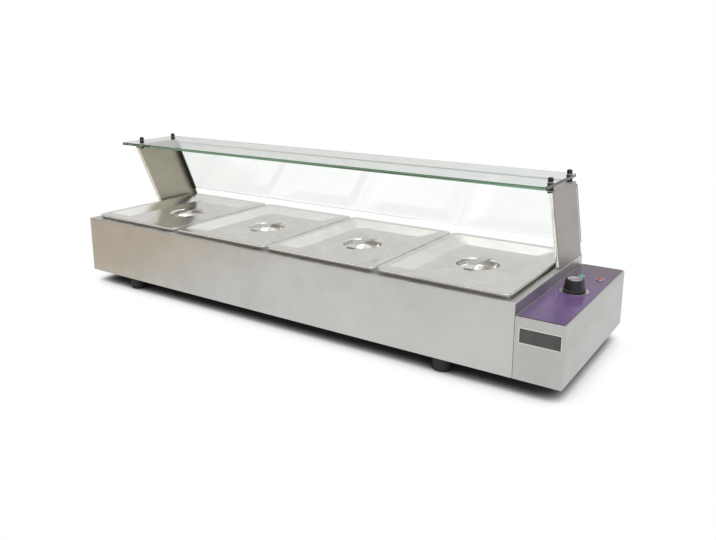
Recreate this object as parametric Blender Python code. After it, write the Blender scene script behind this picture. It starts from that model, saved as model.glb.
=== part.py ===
# Bain marie display counter: a four-pan wet well with lids, a glass shelf and a leaning rear glass.
# Metres, +Z up. X runs along the counter from left to right, Y from the front to the rear.
# The origin lies on the table under the middle of the bounding box.

import math

import bmesh
import bpy
from mathutils import Matrix, Vector

# Clearances and overruns
GAP = 0.0003
CUT_OVERRUN = 0.004
RUN_CLEARANCE = 0.0005

# Gastronorm pans
PAN_COUNT = 4
PAN_WIDTH = 0.265
PAN_LENGTH = 0.325
PAN_DEPTH = 0.1
PAN_SPACING = 0.003
PAN_SHEET = 0.0009
PAN_RIM_WIDTH = 0.0125
PAN_RIM_LIP = 0.0022
PAN_RIM_BEND = 0.0014
PAN_RIM_CORNER = 0.014
PAN_NECK_BEND = 0.004
PAN_NECK_CORNER = 0.03
PAN_WALL_TAPER = 0.0125
PAN_FLOOR_BEND = 0.014
PAN_FLOOR_CORNER = 0.034

# Main body
RIM_MARGIN = 0.015
SHEET = 0.0012
EDGE_BEND = 0.0015
UPRIGHT_BEND = 0.002
CURB_HEIGHT = 0.006
CURB_TUCK = 0.005
CURB_CORNER = 0.002
BOTTOM_RETURN = 0.015
BOTTOM_RETURN_CORNER = 0.004

# Water tank
TANK_SHEET = 0.001
TANK_FLANGE_MARGIN = 0.006
TANK_FLANGE_CORNER = 0.004
TANK_FLOOR_LIFT = 0.012
TANK_CORNER = 0.003
PAN_FLOOR_CLEARANCE = 0.015

# Divider bars
BAR_WIDTH = 0.02
BAR_SKIRT = 0.008
BAR_SHEET = 0.0012
BAR_TIP = 0.0015

# Lids and their handles
LID_SHEET = 0.0009
LID_SETBACK = 0.001
LID_CORNER = 0.013
LID_FLANGE = 0.014
LID_FLANGE_BEND = 0.003
LID_SLOPE = 0.033
LID_DROP = 0.01
LID_PANEL_BEND = 0.006
LID_PANEL_CORNER = 0.014
WELL_LENGTH = 0.084
WELL_WIDTH = 0.07
WELL_SLOPE = 0.004
WELL_DEPTH = 0.013
WELL_BEND = 0.002
WELL_CORNER_SHARE = 0.9
HANDLE_WIDTH = 0.018
HANDLE_FOOT = 0.01
HANDLE_RAMP = 0.009
HANDLE_ARCH = 0.004
HANDLE_SHEET = 0.0018

# Heating element
ELEMENT_RADIUS = 0.00425
ELEMENT_LIFT = 0.0018
ELEMENT_SPREAD = 0.08
ELEMENT_END_ROOM = 0.06
ELEMENT_TAIL = 0.012
ELEMENT_PLATE_LENGTH = 0.112
ELEMENT_PLATE_HEIGHT = 0.022
ELEMENT_PLATE_SHEET = 0.0015
LEAD_SLOT_LENGTH = 0.12
LEAD_SLOT_HEIGHT = 0.026

# Control box
CONTROL_LENGTH = 0.084
CONTROL_STEP = 0.021
OVERLAY_MARGIN = 0.003
OVERLAY_SHEET = 0.0008
OVERLAY_CORNER = 0.003
KNOB_ACROSS = 0.042
KNOB_BACK = 0.172
LAMP_BACK = 0.262
GREEN_LAMP_ACROSS = 0.027
RED_LAMP_ACROSS = 0.062

# Thermostat, dial and knob
THERMOSTAT_SIZE = 0.042
THERMOSTAT_DEPTH = 0.032
BUSHING_RADIUS = 0.005
BUSHING_RISE = 0.004
SPINDLE_RADIUS = 0.003
SPINDLE_ROOT = 0.012
DIAL_RADIUS = 0.026
DIAL_SHEET = 0.001
KNOB_RADIUS = 0.019
KNOB_TOP_RADIUS = 0.0165
KNOB_HEIGHT = 0.022
KNOB_SKIRT_RADIUS = 0.0205
KNOB_SKIRT_HEIGHT = 0.003
KNOB_CAP_RADIUS = 0.013
KNOB_CAP_SINK = 0.0008
KNOB_FLUTE = 0.0009
KNOB_FLUTES = 12
KNOB_BORE_DEPTH = 0.013

# Signal lamps
LAMP_BEZEL_RADIUS = 0.0065
LAMP_BEZEL_HEIGHT = 0.0018
LAMP_LENS_RADIUS = 0.0048
LAMP_LENS_RISE = 0.0032
LAMP_STEM_RADIUS = 0.0045
LAMP_STEM_LENGTH = 0.014

# Cable gland
GLAND_REACH = 0.018
GLAND_BORE = 0.004
GLAND_NUT_RADIUS = 0.0105
GLAND_DOME_RADIUS = 0.0085
GLAND_THREAD_RADIUS = 0.0075
GLAND_THREAD_LENGTH = 0.009
GLAND_COLLAR = 0.005
GLAND_ACROSS = 0.042
GLAND_LIFT = 0.032

# Drain tap
TAP_REACH = 0.042
TAP_BACK = 0.178
TAP_LIFT = 0.031
TAP_THREAD_RADIUS = 0.008
TAP_THREAD_TAIL = 0.008
TAP_COLLAR_RADIUS = 0.0135
TAP_COLLAR_LENGTH = 0.005
TAP_BARREL_RADIUS = 0.0105
TAP_BORE = 0.0045
TAP_SPOUT_RADIUS = 0.0075
TAP_SPOUT_DROP = 0.022
TAP_SPOUT_INSET = 0.012
TAP_WEB = 0.004
TAP_BOSS_RADIUS = 0.006
TAP_BOSS_RISE = 0.0145
TAP_NUT_RADIUS = 0.011
TAP_NUT_LENGTH = 0.005
LEVER_PIN_RADIUS = 0.0028
LEVER_PIN_LENGTH = 0.006
LEVER_LENGTH = 0.05
LEVER_HUB_RADIUS = 0.008
LEVER_TIP_RADIUS = 0.005
LEVER_SHEET = 0.003

# Side brackets and glass
BRACKET_SHEET = 0.0015
BRACKET_SETBACK = 0.001
BRACKET_DEPTH = 0.128
BRACKET_REAR_MARGIN = 0.007
BRACKET_HEIGHT = 0.159
BRACKET_LEAN = 0.067
BRACKET_FOOT_FLANGE = 0.012
BRACKET_REAR_FLANGE = 0.012
BRACKET_TOP_FLANGE = 0.015
BRACKET_RELIEF = 0.003
TRIM_COVER = 0.009
TRIM_SHEET = 0.0014
PANE_SHEET = 0.005
PANE_FOOT_GAP = 0.022
PANE_HEAD_GAP = 0.009
PANE_CORNER = 0.004
SHELF_SHEET = 0.006
SHELF_FRONT_OVERHANG = 0.044
SHELF_REAR_OVERHANG = 0.001
SHELF_CORNER = 0.008
SHELF_EDGE = 0.0008
CLAMP_INSET = 0.0095
CLAMP_END_ROOM = 0.012
CLAMP_PAD_RADIUS = 0.006
CLAMP_PAD_HEIGHT = 0.008
CLAMP_STUD_RADIUS = 0.0025
CLAMP_NUT_RADIUS = 0.0045
CLAMP_NUT_HEIGHT = 0.004
CLAMP_CAP_RADIUS = 0.0052
CLAMP_CAP_HEIGHT = 0.008
CLAMP_CAP_ROUND = 0.002

# Feet
FOOT_HEIGHT = 0.026
FOOT_RADIUS = 0.019
FOOT_TREAD_RADIUS = 0.0165
FOOT_EDGE = 0.0015
FOOT_RECESS_RADIUS = 0.007
FOOT_RECESS_DEPTH = 0.012
FOOT_END_MARGIN = 0.14
FOOT_SIDE_MARGIN = 0.022

# Facets
CORNER_STEPS = 4
BEND_STEPS = 2
ROUND_SEGMENTS = 20
SMALL_SEGMENTS = 12
SMOOTH_ANGLE = math.radians(35)

# Places worked out from the sizes above
MAIN_LENGTH = PAN_COUNT * PAN_WIDTH + (PAN_COUNT - 1) * PAN_SPACING + 2 * RIM_MARGIN
BODY_DEPTH = PAN_LENGTH + 2 * RIM_MARGIN
LEFT_X = (TAP_REACH - MAIN_LENGTH - CONTROL_LENGTH) / 2
FRONT_Y = -(BODY_DEPTH + GLAND_REACH) / 2
MAIN_X = LEFT_X + MAIN_LENGTH / 2
MAIN_Y = FRONT_Y + BODY_DEPTH / 2
RIGHT_X = LEFT_X + MAIN_LENGTH
BASE_Z = FOOT_HEIGHT
ELEMENT_HEIGHT = TANK_FLOOR_LIFT + ELEMENT_LIFT + 2 * ELEMENT_RADIUS
MAIN_HEIGHT = ELEMENT_HEIGHT + PAN_FLOOR_CLEARANCE + PAN_DEPTH - GAP - CURB_HEIGHT
CONTROL_HEIGHT = MAIN_HEIGHT - CONTROL_STEP
DECK_Z = BASE_Z + MAIN_HEIGHT
CURB_INSET = RIM_MARGIN + CURB_TUCK
TANK_INSET = CURB_INSET + SHEET
CURB_TOP_Z = DECK_Z + CURB_HEIGHT
PAN_TOP_Z = CURB_TOP_Z + GAP + PAN_SHEET
BAR_TOP_Z = PAN_TOP_Z - PAN_RIM_LIP - GAP
PAN_PITCH = PAN_WIDTH + PAN_SPACING
FIRST_PAN_X = LEFT_X + RIM_MARGIN + PAN_WIDTH / 2
CONTROL_TOP_Z = BASE_Z + CONTROL_HEIGHT
OVERLAY_TOP_Z = CONTROL_TOP_Z + GAP + OVERLAY_SHEET
DIAL_TOP_Z = OVERLAY_TOP_Z + GAP + DIAL_SHEET
KNOB_X = RIGHT_X + KNOB_ACROSS
KNOB_Y = FRONT_Y + KNOB_BACK
LAMP_Y = FRONT_Y + LAMP_BACK
TANK_FLOOR_Z = BASE_Z + TANK_FLOOR_LIFT
ELEMENT_Z = TANK_FLOOR_Z + ELEMENT_LIFT + ELEMENT_RADIUS
BRACKET_REAR_Y = FRONT_Y + BODY_DEPTH - BRACKET_REAR_MARGIN
BRACKET_TOP_Z = DECK_Z + GAP + BRACKET_HEIGHT
LEAN_ANGLE = math.atan2(BRACKET_LEAN, BRACKET_HEIGHT)
SHELF_Z = BRACKET_TOP_Z + 2 * GAP + CLAMP_PAD_HEIGHT


# Materials

def make_material(name, colour, roughness, metallic, transmission=0.0):
    material = bpy.data.materials.new(name)
    material.use_nodes = True
    shader = material.node_tree.nodes["Principled BSDF"]
    shader.inputs["Base Color"].default_value = (*colour, 1.0)
    shader.inputs["Roughness"].default_value = roughness
    shader.inputs["Metallic"].default_value = metallic
    shader.inputs["Transmission Weight"].default_value = transmission
    material.diffuse_color = (*colour, 1.0)
    return material


# Meshes and objects

def make_object(name, mesh, material, location=(0.0, 0.0, 0.0), rotation=(0.0, 0.0, 0.0)):
    mesh.materials.append(material)
    mesh.shade_smooth()
    mesh.set_sharp_from_angle(angle=SMOOTH_ANGLE)
    item = bpy.data.objects.new(name, mesh)
    item.location = location
    item.rotation_euler = rotation
    bpy.context.scene.collection.objects.link(item)
    return item


def finish_mesh(name, shape):
    bmesh.ops.recalc_face_normals(shape, faces=shape.faces[:])
    mesh = bpy.data.meshes.new(name)
    shape.to_mesh(mesh)
    shape.free()
    return mesh


def bridge(shape, first, second):
    count = len(first)
    for index in range(count):
        after = (index + 1) % count
        shape.faces.new((first[index], first[after], second[after], second[index]))


def make_guide(item):
    item.hide_render = True
    item.display_type = "WIRE"


def combine(target, tool, operation):
    modifier = target.modifiers.new(tool.name, "BOOLEAN")
    modifier.operation = operation
    modifier.solver = "EXACT"
    modifier.object = tool
    make_guide(tool)


def cut(target, tool):
    combine(target, tool, "DIFFERENCE")


def weld(target, tool):
    combine(target, tool, "UNION")


# Outlines

def rounded_loop(half_x, half_y, radius, steps=CORNER_STEPS):
    points = []
    for corner in range(4):
        sign_x = 1 if corner in (0, 3) else -1
        sign_y = 1 if corner in (0, 1) else -1
        centre = Vector((sign_x * (half_x - radius), sign_y * (half_y - radius)))
        for step in range(steps + 1):
            angle = (corner + step / steps) * math.pi / 2
            points.append(centre + radius * Vector((math.cos(angle), math.sin(angle))))
    return points


def circle(radius, segments):
    turn = 2 * math.pi / segments
    return [Vector((radius * math.cos(turn * k), radius * math.sin(turn * k))) for k in range(segments)]


def bent_path(stops):
    """Round the inner stops of a path. A stop holds inset, height, corner radius, bend radius and steps."""
    path = [stops[0][:3]]
    for before, stop, after in zip(stops, stops[1:], stops[2:]):
        here = Vector(stop[:2])
        back = Vector(before[:2]) - here
        forth = Vector(after[:2]) - here
        half_turn = back.angle(forth) / 2
        reach = stop[3] / math.tan(half_turn)
        middle = here + (back.normalized() + forth.normalized()).normalized() * stop[3] / math.sin(half_turn)
        start = here + back.normalized() * reach - middle
        end = here + forth.normalized() * reach - middle
        for step in range(stop[4] + 1):
            share = step / stop[4]
            point = middle + start.normalized().slerp(end.normalized(), share) * stop[3]
            path.append((point.x, point.y, stop[2]))
    path.append(stops[-1][:3])
    return path


def offset_path(path, thickness):
    """Move a path of inset, height and corner radius by the sheet thickness to its right-hand side."""
    moved = []
    for index, (inset, height, corner) in enumerate(path):
        sides = []
        if index:
            sides.append(Vector((inset - path[index - 1][0], height - path[index - 1][1])).normalized())
        if index + 1 < len(path):
            sides.append(Vector((path[index + 1][0] - inset, path[index + 1][1] - height)).normalized())
        normals = [Vector((side.y, -side.x)) for side in sides]
        mitre = sum(normals, Vector((0.0, 0.0))).normalized()
        step = mitre * thickness / mitre.dot(normals[0])
        moved.append((inset + step.x, height + step.y, corner - step.x))
    return moved


# Solids

def sheet_mesh(name, length, width, path, thickness, ring=False, steps=CORNER_STEPS):
    """Sheet that follows a path in from a rounded rectangle's edge: a dish, or a ring that stays open."""
    shape = bmesh.new()
    lower = offset_path(path, thickness)
    loops = []
    for inset, height, corner in path + lower[::-1]:
        points = rounded_loop(length / 2 - inset, width / 2 - inset, corner, steps)
        loops.append([shape.verts.new((point.x, point.y, height)) for point in points])
    last_top = len(path) - 1
    for index in range(len(loops) - 1):
        if index != last_top or ring:
            bridge(shape, loops[index], loops[index + 1])
    bridge(shape, loops[-1], loops[0])
    if not ring:
        shape.faces.new(loops[last_top])
        shape.faces.new(loops[last_top + 1])
    return finish_mesh(name, shape)


def turned_mesh(name, profile, segments, bored=False, radius_at=None):
    """Turn a profile of radius and height about Z. A bored profile is a closed loop away from the axis."""
    shape = bmesh.new()
    rings = []
    for radius, height in profile:
        points = circle(radius, segments)
        if radius_at:
            points = [point.normalized() * radius_at(radius, height, point) for point in points]
        rings.append([shape.verts.new((point.x, point.y, height)) for point in points])
    for first, second in zip(rings, rings[1:]):
        bridge(shape, first, second)
    if bored:
        bridge(shape, rings[-1], rings[0])
    else:
        shape.faces.new(rings[0])
        shape.faces.new(rings[-1])
    return finish_mesh(name, shape)


def prism_mesh(name, outline, start, end, turn=Matrix.Identity(4)):
    """Extrude an outline along Z from start to end, then turn it."""
    shape = bmesh.new()
    low = [shape.verts.new((x, y, start)) for x, y in outline]
    high = [shape.verts.new((x, y, end)) for x, y in outline]
    bridge(shape, low, high)
    shape.faces.new(low)
    shape.faces.new(high)
    bmesh.ops.transform(shape, matrix=turn, verts=shape.verts[:])
    return finish_mesh(name, shape)


def box_mesh(name, size, offset=(0.0, 0.0, 0.0)):
    shape = bmesh.new()
    bmesh.ops.create_cube(shape, size=1.0)
    bmesh.ops.scale(shape, vec=size, verts=shape.verts[:])
    bmesh.ops.translate(shape, vec=offset, verts=shape.verts[:])
    return finish_mesh(name, shape)


# An outline of (x, z) is extruded along Y with this turn
FROM_XZ = Matrix(((1, 0, 0, 0), (0, 0, -1, 0), (0, 1, 0, 0), (0, 0, 0, 1)))
# A turned piece lies along X or Y with these rotations
TOWARDS_LEFT = (0.0, -math.pi / 2, 0.0)
TOWARDS_RIGHT = (0.0, math.pi / 2, 0.0)
TOWARDS_REAR = (-math.pi / 2, 0.0, 0.0)
# A strip made along X runs from the front to the rear with this rotation
FRONT_TO_REAR = (0.0, 0.0, math.pi / 2)


def add_bevel(item, width, segments=2):
    modifier = item.modifiers.new("Edges", "BEVEL")
    modifier.width = width
    modifier.segments = segments
    modifier.limit_method = "ANGLE"
    modifier.angle_limit = SMOOTH_ANGLE


def drill(target, name, radius, reach, location, rotation=(0.0, 0.0, 0.0), segments=SMALL_SEGMENTS):
    """Cut a round hole, reach long on each side of its place."""
    mesh = turned_mesh(name, [(radius, -reach), (radius, reach)], segments)
    cut(target, make_object(name, mesh, target.data.materials[0], location, rotation))


# Main body

def pan_x(index):
    return FIRST_PAN_X + index * PAN_PITCH


def bar_x(index):
    return FIRST_PAN_X + (index + 1 / 2) * PAN_PITCH


def make_casing(steel):
    path = bent_path([
        (BOTTOM_RETURN, 0.0, BOTTOM_RETURN_CORNER, 0.0, 0),
        (0.0, 0.0, UPRIGHT_BEND, EDGE_BEND, BEND_STEPS),
        (0.0, MAIN_HEIGHT, UPRIGHT_BEND, EDGE_BEND, BEND_STEPS),
        (CURB_INSET, MAIN_HEIGHT, CURB_CORNER, EDGE_BEND, BEND_STEPS),
        (CURB_INSET, MAIN_HEIGHT + CURB_HEIGHT, CURB_CORNER, 0.0, 0),
    ])
    mesh = sheet_mesh("outer_casing", MAIN_LENGTH, BODY_DEPTH, path, SHEET, ring=True, steps=BEND_STEPS)
    casing = make_object("outer_casing", mesh, steel, (MAIN_X, MAIN_Y, BASE_Z))
    notch_depth = CURB_TOP_Z - BAR_TOP_Z + BAR_SHEET + GAP
    for index in range(PAN_COUNT - 1):
        size = (BAR_WIDTH + 2 * RUN_CLEARANCE, BODY_DEPTH, 2 * notch_depth)
        name = f"bar_notch_{index + 1}"
        notch = make_object(name, box_mesh(name, size), steel, (bar_x(index), MAIN_Y, CURB_TOP_Z))
        cut(casing, notch)
    tap_place = (LEFT_X, FRONT_Y + TAP_BACK, BASE_Z + TAP_LIFT)
    drill(casing, "casing_tap_hole", TAP_THREAD_RADIUS + GAP, CUT_OVERRUN, tap_place, TOWARDS_LEFT)
    slot_size = (2 * CUT_OVERRUN, LEAD_SLOT_LENGTH, LEAD_SLOT_HEIGHT)
    slot_mesh = box_mesh("lead_slot", slot_size)
    slot = make_object("lead_slot", slot_mesh, steel, (RIGHT_X, MAIN_Y, ELEMENT_Z + LEAD_SLOT_HEIGHT / 4))
    cut(casing, slot)
    return casing


def make_tank(steel):
    """The tank's flange and walls, which stand on its floor."""
    rim_z = MAIN_HEIGHT - SHEET - GAP
    path = bent_path([
        (TANK_FLANGE_MARGIN, rim_z, TANK_FLANGE_CORNER, 0.0, 0),
        (TANK_INSET, rim_z, TANK_CORNER, EDGE_BEND, BEND_STEPS),
        (TANK_INSET, TANK_FLOOR_LIFT + GAP, TANK_CORNER, 0.0, 0),
    ])
    mesh = sheet_mesh("water_tank", MAIN_LENGTH, BODY_DEPTH, path, TANK_SHEET, ring=True, steps=BEND_STEPS)
    tank = make_object("water_tank", mesh, steel, (MAIN_X, MAIN_Y, BASE_Z))
    tap_place = (LEFT_X + TANK_INSET, FRONT_Y + TAP_BACK, BASE_Z + TAP_LIFT)
    drill(tank, "tank_tap_hole", TAP_THREAD_RADIUS + GAP, CUT_OVERRUN, tap_place, TOWARDS_LEFT)
    for index, side in enumerate((-1, 1)):
        place = (RIGHT_X - TANK_INSET, MAIN_Y + side * ELEMENT_SPREAD / 2, ELEMENT_Z)
        drill(tank, f"tank_element_hole_{index + 1}", ELEMENT_RADIUS + GAP, CUT_OVERRUN, place, TOWARDS_LEFT)
    return tank


def make_tank_floor(steel):
    inset = TANK_INSET - TANK_SHEET
    outline = rounded_loop(MAIN_LENGTH / 2 - inset, BODY_DEPTH / 2 - inset, TANK_CORNER + TANK_SHEET)
    mesh = prism_mesh("tank_floor", outline, TANK_FLOOR_LIFT - TANK_SHEET, TANK_FLOOR_LIFT)
    return make_object("tank_floor", mesh, steel, (MAIN_X, MAIN_Y, BASE_Z))


def make_bottom_plate(steel):
    size = (MAIN_LENGTH - 2 * (SHEET + GAP), BODY_DEPTH - 2 * (SHEET + GAP))
    outline = rounded_loop(size[0] / 2, size[1] / 2, UPRIGHT_BEND)
    start = SHEET + GAP
    mesh = prism_mesh("bottom_plate", outline, start, start + SHEET)
    return make_object("bottom_plate", mesh, steel, (MAIN_X, MAIN_Y, BASE_Z))


def make_bar(index, steel):
    """Hat-section bar whose flat tips lie in the notches of the curb."""
    name = f"divider_bar_{index + 1}"
    half = BAR_WIDTH / 2
    inner = half - BAR_SHEET
    outline = [(-half, 0.0), (-half, -BAR_SKIRT), (-inner, -BAR_SKIRT), (-inner, -BAR_SHEET),
               (inner, -BAR_SHEET), (inner, -BAR_SKIRT), (half, -BAR_SKIRT), (half, 0.0)]
    half_length = BODY_DEPTH / 2 - CURB_INSET + BAR_TIP
    mesh = prism_mesh(name, outline, -half_length, half_length, FROM_XZ)
    bar = make_object(name, mesh, steel, (bar_x(index), MAIN_Y, BAR_TOP_Z))
    tip = BAR_TIP + SHEET + 2 * RUN_CLEARANCE
    for end, side in (("front", -1), ("rear", 1)):
        size = (BAR_WIDTH + CUT_OVERRUN, 2 * tip, BAR_SKIRT)
        place = (bar_x(index), MAIN_Y + side * half_length, BAR_TOP_Z - BAR_SHEET - BAR_SKIRT / 2)
        cutter_name = f"bar_tip_{end}_{index + 1}"
        cut(bar, make_object(cutter_name, box_mesh(cutter_name, size), steel, place))
    return bar


# Pans, lids and handles

def make_pan(index, steel):
    floor_inset = PAN_RIM_WIDTH + PAN_WALL_TAPER
    path = bent_path([
        (0.0, -PAN_RIM_LIP, PAN_RIM_CORNER, 0.0, 0),
        (0.0, 0.0, PAN_RIM_CORNER, PAN_RIM_BEND, 1),
        (PAN_RIM_WIDTH, 0.0, PAN_NECK_CORNER, PAN_NECK_BEND, 1),
        (floor_inset, -PAN_DEPTH, PAN_FLOOR_CORNER, PAN_FLOOR_BEND, BEND_STEPS),
        (floor_inset + 2 * PAN_FLOOR_BEND, -PAN_DEPTH, PAN_FLOOR_CORNER, 0.0, 0),
    ])
    name = f"gn_pan_{index + 1}"
    mesh = sheet_mesh(name, PAN_WIDTH, PAN_LENGTH, path, PAN_SHEET)
    return make_object(name, mesh, steel, (pan_x(index), MAIN_Y, PAN_TOP_Z))


def lid_path():
    """Flange, wide slope and sunken panel, in towards the edge of the handle well."""
    panel_inset = LID_FLANGE + LID_SLOPE
    return bent_path([
        (0.0, 0.0, LID_CORNER, 0.0, 0),
        (LID_FLANGE, 0.0, LID_CORNER, LID_FLANGE_BEND, BEND_STEPS),
        (panel_inset, -LID_DROP, LID_PANEL_CORNER, LID_PANEL_BEND, BEND_STEPS),
        (panel_inset + LID_PANEL_BEND, -LID_DROP, LID_PANEL_CORNER, 0.0, 0),
    ])


def well_path():
    """The handle well, from its edge on the panel to its floor."""
    corner = WELL_CORNER_SHARE * WELL_WIDTH / 2
    floor_z = -LID_DROP - WELL_DEPTH
    return bent_path([
        (-2 * WELL_BEND, -LID_DROP, corner, 0.0, 0),
        (0.0, -LID_DROP, corner, WELL_BEND, BEND_STEPS),
        (WELL_SLOPE, floor_z, corner - WELL_SLOPE, WELL_BEND, 1),
        (WELL_SLOPE + 2 * WELL_BEND, floor_z, corner - WELL_SLOPE, 0.0, 0),
    ])


def lid_mesh(name, length, width):
    """Pressed lid: the flange and panel follow the lid's outline, the well follows its own."""
    shape = bmesh.new()
    loops = []
    for path, size in ((lid_path(), (length, width)), (well_path(), (WELL_LENGTH, WELL_WIDTH))):
        for side, surface in enumerate((path, offset_path(path, LID_SHEET))):
            for inset, height, corner in surface:
                points = rounded_loop(size[0] / 2 - inset, size[1] / 2 - inset, corner)
                ring = [shape.verts.new((point.x, point.y, height)) for point in points]
                loops.append((side, ring))
    top = [ring for side, ring in loops if side == 0]
    under = [ring for side, ring in loops if side == 1]
    for surface in (top, under):
        for first, second in zip(surface, surface[1:]):
            bridge(shape, first, second)
        shape.faces.new(surface[-1])
    bridge(shape, top[0], under[0])
    return finish_mesh(name, shape)


def make_lid(index, pan, steel):
    name = f"lid_{index + 1}"
    mesh = lid_mesh(name, PAN_WIDTH - 2 * LID_SETBACK, PAN_LENGTH - 2 * LID_SETBACK)
    lid = make_object(name, mesh, steel, (0.0, 0.0, LID_SHEET + GAP))
    lid.parent = pan
    return lid


def handle_outline():
    """Strap over the well: flat feet, ramps and a raised middle, as one bent strip."""
    reach = WELL_WIDTH / 2 + RUN_CLEARANCE
    rise = HANDLE_ARCH
    top = [(reach + HANDLE_FOOT, HANDLE_SHEET), (reach, HANDLE_SHEET),
           (reach - HANDLE_RAMP, HANDLE_SHEET + rise)]
    under = [(reach - HANDLE_RAMP, rise), (reach, 0.0), (reach + HANDLE_FOOT, 0.0)]
    right = under + top
    left = [(-x, z) for x, z in right[::-1]]
    return right + left


def make_handle(index, lid, steel):
    name = f"lid_handle_{index + 1}"
    half = HANDLE_WIDTH / 2
    mesh = prism_mesh(name, handle_outline(), -half, half, FROM_XZ)
    handle = make_object(name, mesh, steel, (0.0, 0.0, GAP - LID_DROP), FRONT_TO_REAR)
    handle.parent = lid
    return handle


# Heating element

def element_route():
    """One hairpin: in through the tank's right wall, round near its left wall and back."""
    wall = RIGHT_X - TANK_INSET + TANK_SHEET
    turn_x = LEFT_X + TANK_INSET + ELEMENT_END_ROOM + ELEMENT_SPREAD / 2
    half = ELEMENT_SPREAD / 2
    points = [(wall + ELEMENT_TAIL, -half)]
    turn_steps = 2 * CORNER_STEPS
    for step in range(turn_steps + 1):
        angle = -math.pi / 2 - step / turn_steps * math.pi
        points.append((turn_x + half * math.cos(angle), half * math.sin(angle)))
    points.append((wall + ELEMENT_TAIL, half))
    return points


def make_element(steel):
    curve = bpy.data.curves.new("heating_element", "CURVE")
    curve.dimensions = "3D"
    curve.bevel_depth = ELEMENT_RADIUS
    curve.bevel_resolution = 2
    curve.use_fill_caps = True
    route = element_route()
    spline = curve.splines.new("POLY")
    spline.points.add(len(route) - 1)
    for point, (x, y) in zip(spline.points, route):
        point.co = (x, y + MAIN_Y, ELEMENT_Z, 1.0)
    curve.materials.append(steel)
    element = bpy.data.objects.new("heating_element", curve)
    bpy.context.scene.collection.objects.link(element)
    return element


def make_element_plate(steel):
    size = (ELEMENT_PLATE_SHEET, ELEMENT_PLATE_LENGTH, ELEMENT_PLATE_HEIGHT)
    x = RIGHT_X - TANK_INSET + TANK_SHEET + GAP + ELEMENT_PLATE_SHEET / 2
    mesh = box_mesh("element_plate", size)
    plate = make_object("element_plate", mesh, steel, (x, MAIN_Y, ELEMENT_Z))
    for index, side in enumerate((-1, 1)):
        place = (x, MAIN_Y + side * ELEMENT_SPREAD / 2, ELEMENT_Z)
        drill(plate, f"plate_hole_{index + 1}", ELEMENT_RADIUS + GAP, CUT_OVERRUN, place, TOWARDS_LEFT)
    return plate


# Control box

def make_control_box(steel):
    """Five-sided shell, open towards the main body."""
    length = CONTROL_LENGTH - GAP
    path = bent_path([
        (0.0, 0.0, EDGE_BEND, 0.0, 0),
        (0.0, length, EDGE_BEND, EDGE_BEND, BEND_STEPS),
        (2 * EDGE_BEND, length, EDGE_BEND, 0.0, 0),
    ])
    mesh = sheet_mesh("control_box", CONTROL_HEIGHT, BODY_DEPTH, path, SHEET, steps=BEND_STEPS)
    place = (RIGHT_X + GAP, MAIN_Y, BASE_Z + CONTROL_HEIGHT / 2)
    box = make_object("control_box", mesh, steel, place, TOWARDS_RIGHT)
    drill(box, "box_spindle_hole", BUSHING_RADIUS + GAP, CUT_OVERRUN, (KNOB_X, KNOB_Y, CONTROL_TOP_Z))
    for name, across in (("green", GREEN_LAMP_ACROSS), ("red", RED_LAMP_ACROSS)):
        place = (RIGHT_X + across, LAMP_Y, CONTROL_TOP_Z)
        drill(box, f"box_{name}_hole", LAMP_STEM_RADIUS + GAP, CUT_OVERRUN, place)
    place = (RIGHT_X + GLAND_ACROSS, FRONT_Y + BODY_DEPTH, BASE_Z + GLAND_LIFT)
    drill(box, "box_gland_hole", GLAND_THREAD_RADIUS + GAP, CUT_OVERRUN, place, TOWARDS_REAR)
    return box


def make_overlay(plastic):
    half_x = CONTROL_LENGTH / 2 - OVERLAY_MARGIN
    half_y = BODY_DEPTH / 2 - OVERLAY_MARGIN
    outline = rounded_loop(half_x, half_y, OVERLAY_CORNER, BEND_STEPS)
    mesh = prism_mesh("control_overlay", outline, 0.0, OVERLAY_SHEET)
    place = (RIGHT_X + CONTROL_LENGTH / 2, MAIN_Y, CONTROL_TOP_Z + GAP)
    overlay = make_object("control_overlay", mesh, plastic, place)
    drill(overlay, "overlay_spindle_hole", BUSHING_RADIUS + GAP, CUT_OVERRUN, (KNOB_X, KNOB_Y, place[2]))
    for name, across in (("green", GREEN_LAMP_ACROSS), ("red", RED_LAMP_ACROSS)):
        hole = (RIGHT_X + across, LAMP_Y, place[2])
        drill(overlay, f"overlay_{name}_hole", LAMP_STEM_RADIUS + GAP, CUT_OVERRUN, hole)
    return overlay


def make_thermostat(plastic):
    """Body under the box's top, with a threaded bushing through it for the spindle."""
    top = CONTROL_TOP_Z - SHEET - GAP
    size = (THERMOSTAT_SIZE, THERMOSTAT_SIZE, THERMOSTAT_DEPTH)
    body_mesh = box_mesh("thermostat", size, (0.0, 0.0, -THERMOSTAT_DEPTH / 2))
    body = make_object("thermostat", body_mesh, plastic, (KNOB_X, KNOB_Y, top))
    bushing_end = DIAL_TOP_Z + BUSHING_RISE - top
    profile = [(BUSHING_RADIUS, -THERMOSTAT_DEPTH / 2), (BUSHING_RADIUS, bushing_end)]
    mesh = turned_mesh("bushing", profile, SMALL_SEGMENTS)
    weld(body, make_object("bushing", mesh, plastic, (KNOB_X, KNOB_Y, top)))
    bore_reach = bushing_end + SPINDLE_ROOT
    drill(body, "spindle_bore", SPINDLE_RADIUS + GAP, bore_reach, (KNOB_X, KNOB_Y, top + bushing_end))
    return body


def make_spindle(steel):
    start = CONTROL_TOP_Z - SHEET - GAP - SPINDLE_ROOT + 2 * GAP
    end = DIAL_TOP_Z + RUN_CLEARANCE + KNOB_BORE_DEPTH - GAP
    profile = [(SPINDLE_RADIUS, start - DIAL_TOP_Z), (SPINDLE_RADIUS, end - DIAL_TOP_Z)]
    mesh = turned_mesh("thermostat_spindle", profile, SMALL_SEGMENTS)
    return make_object("thermostat_spindle", mesh, steel, (KNOB_X, KNOB_Y, DIAL_TOP_Z))


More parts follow.
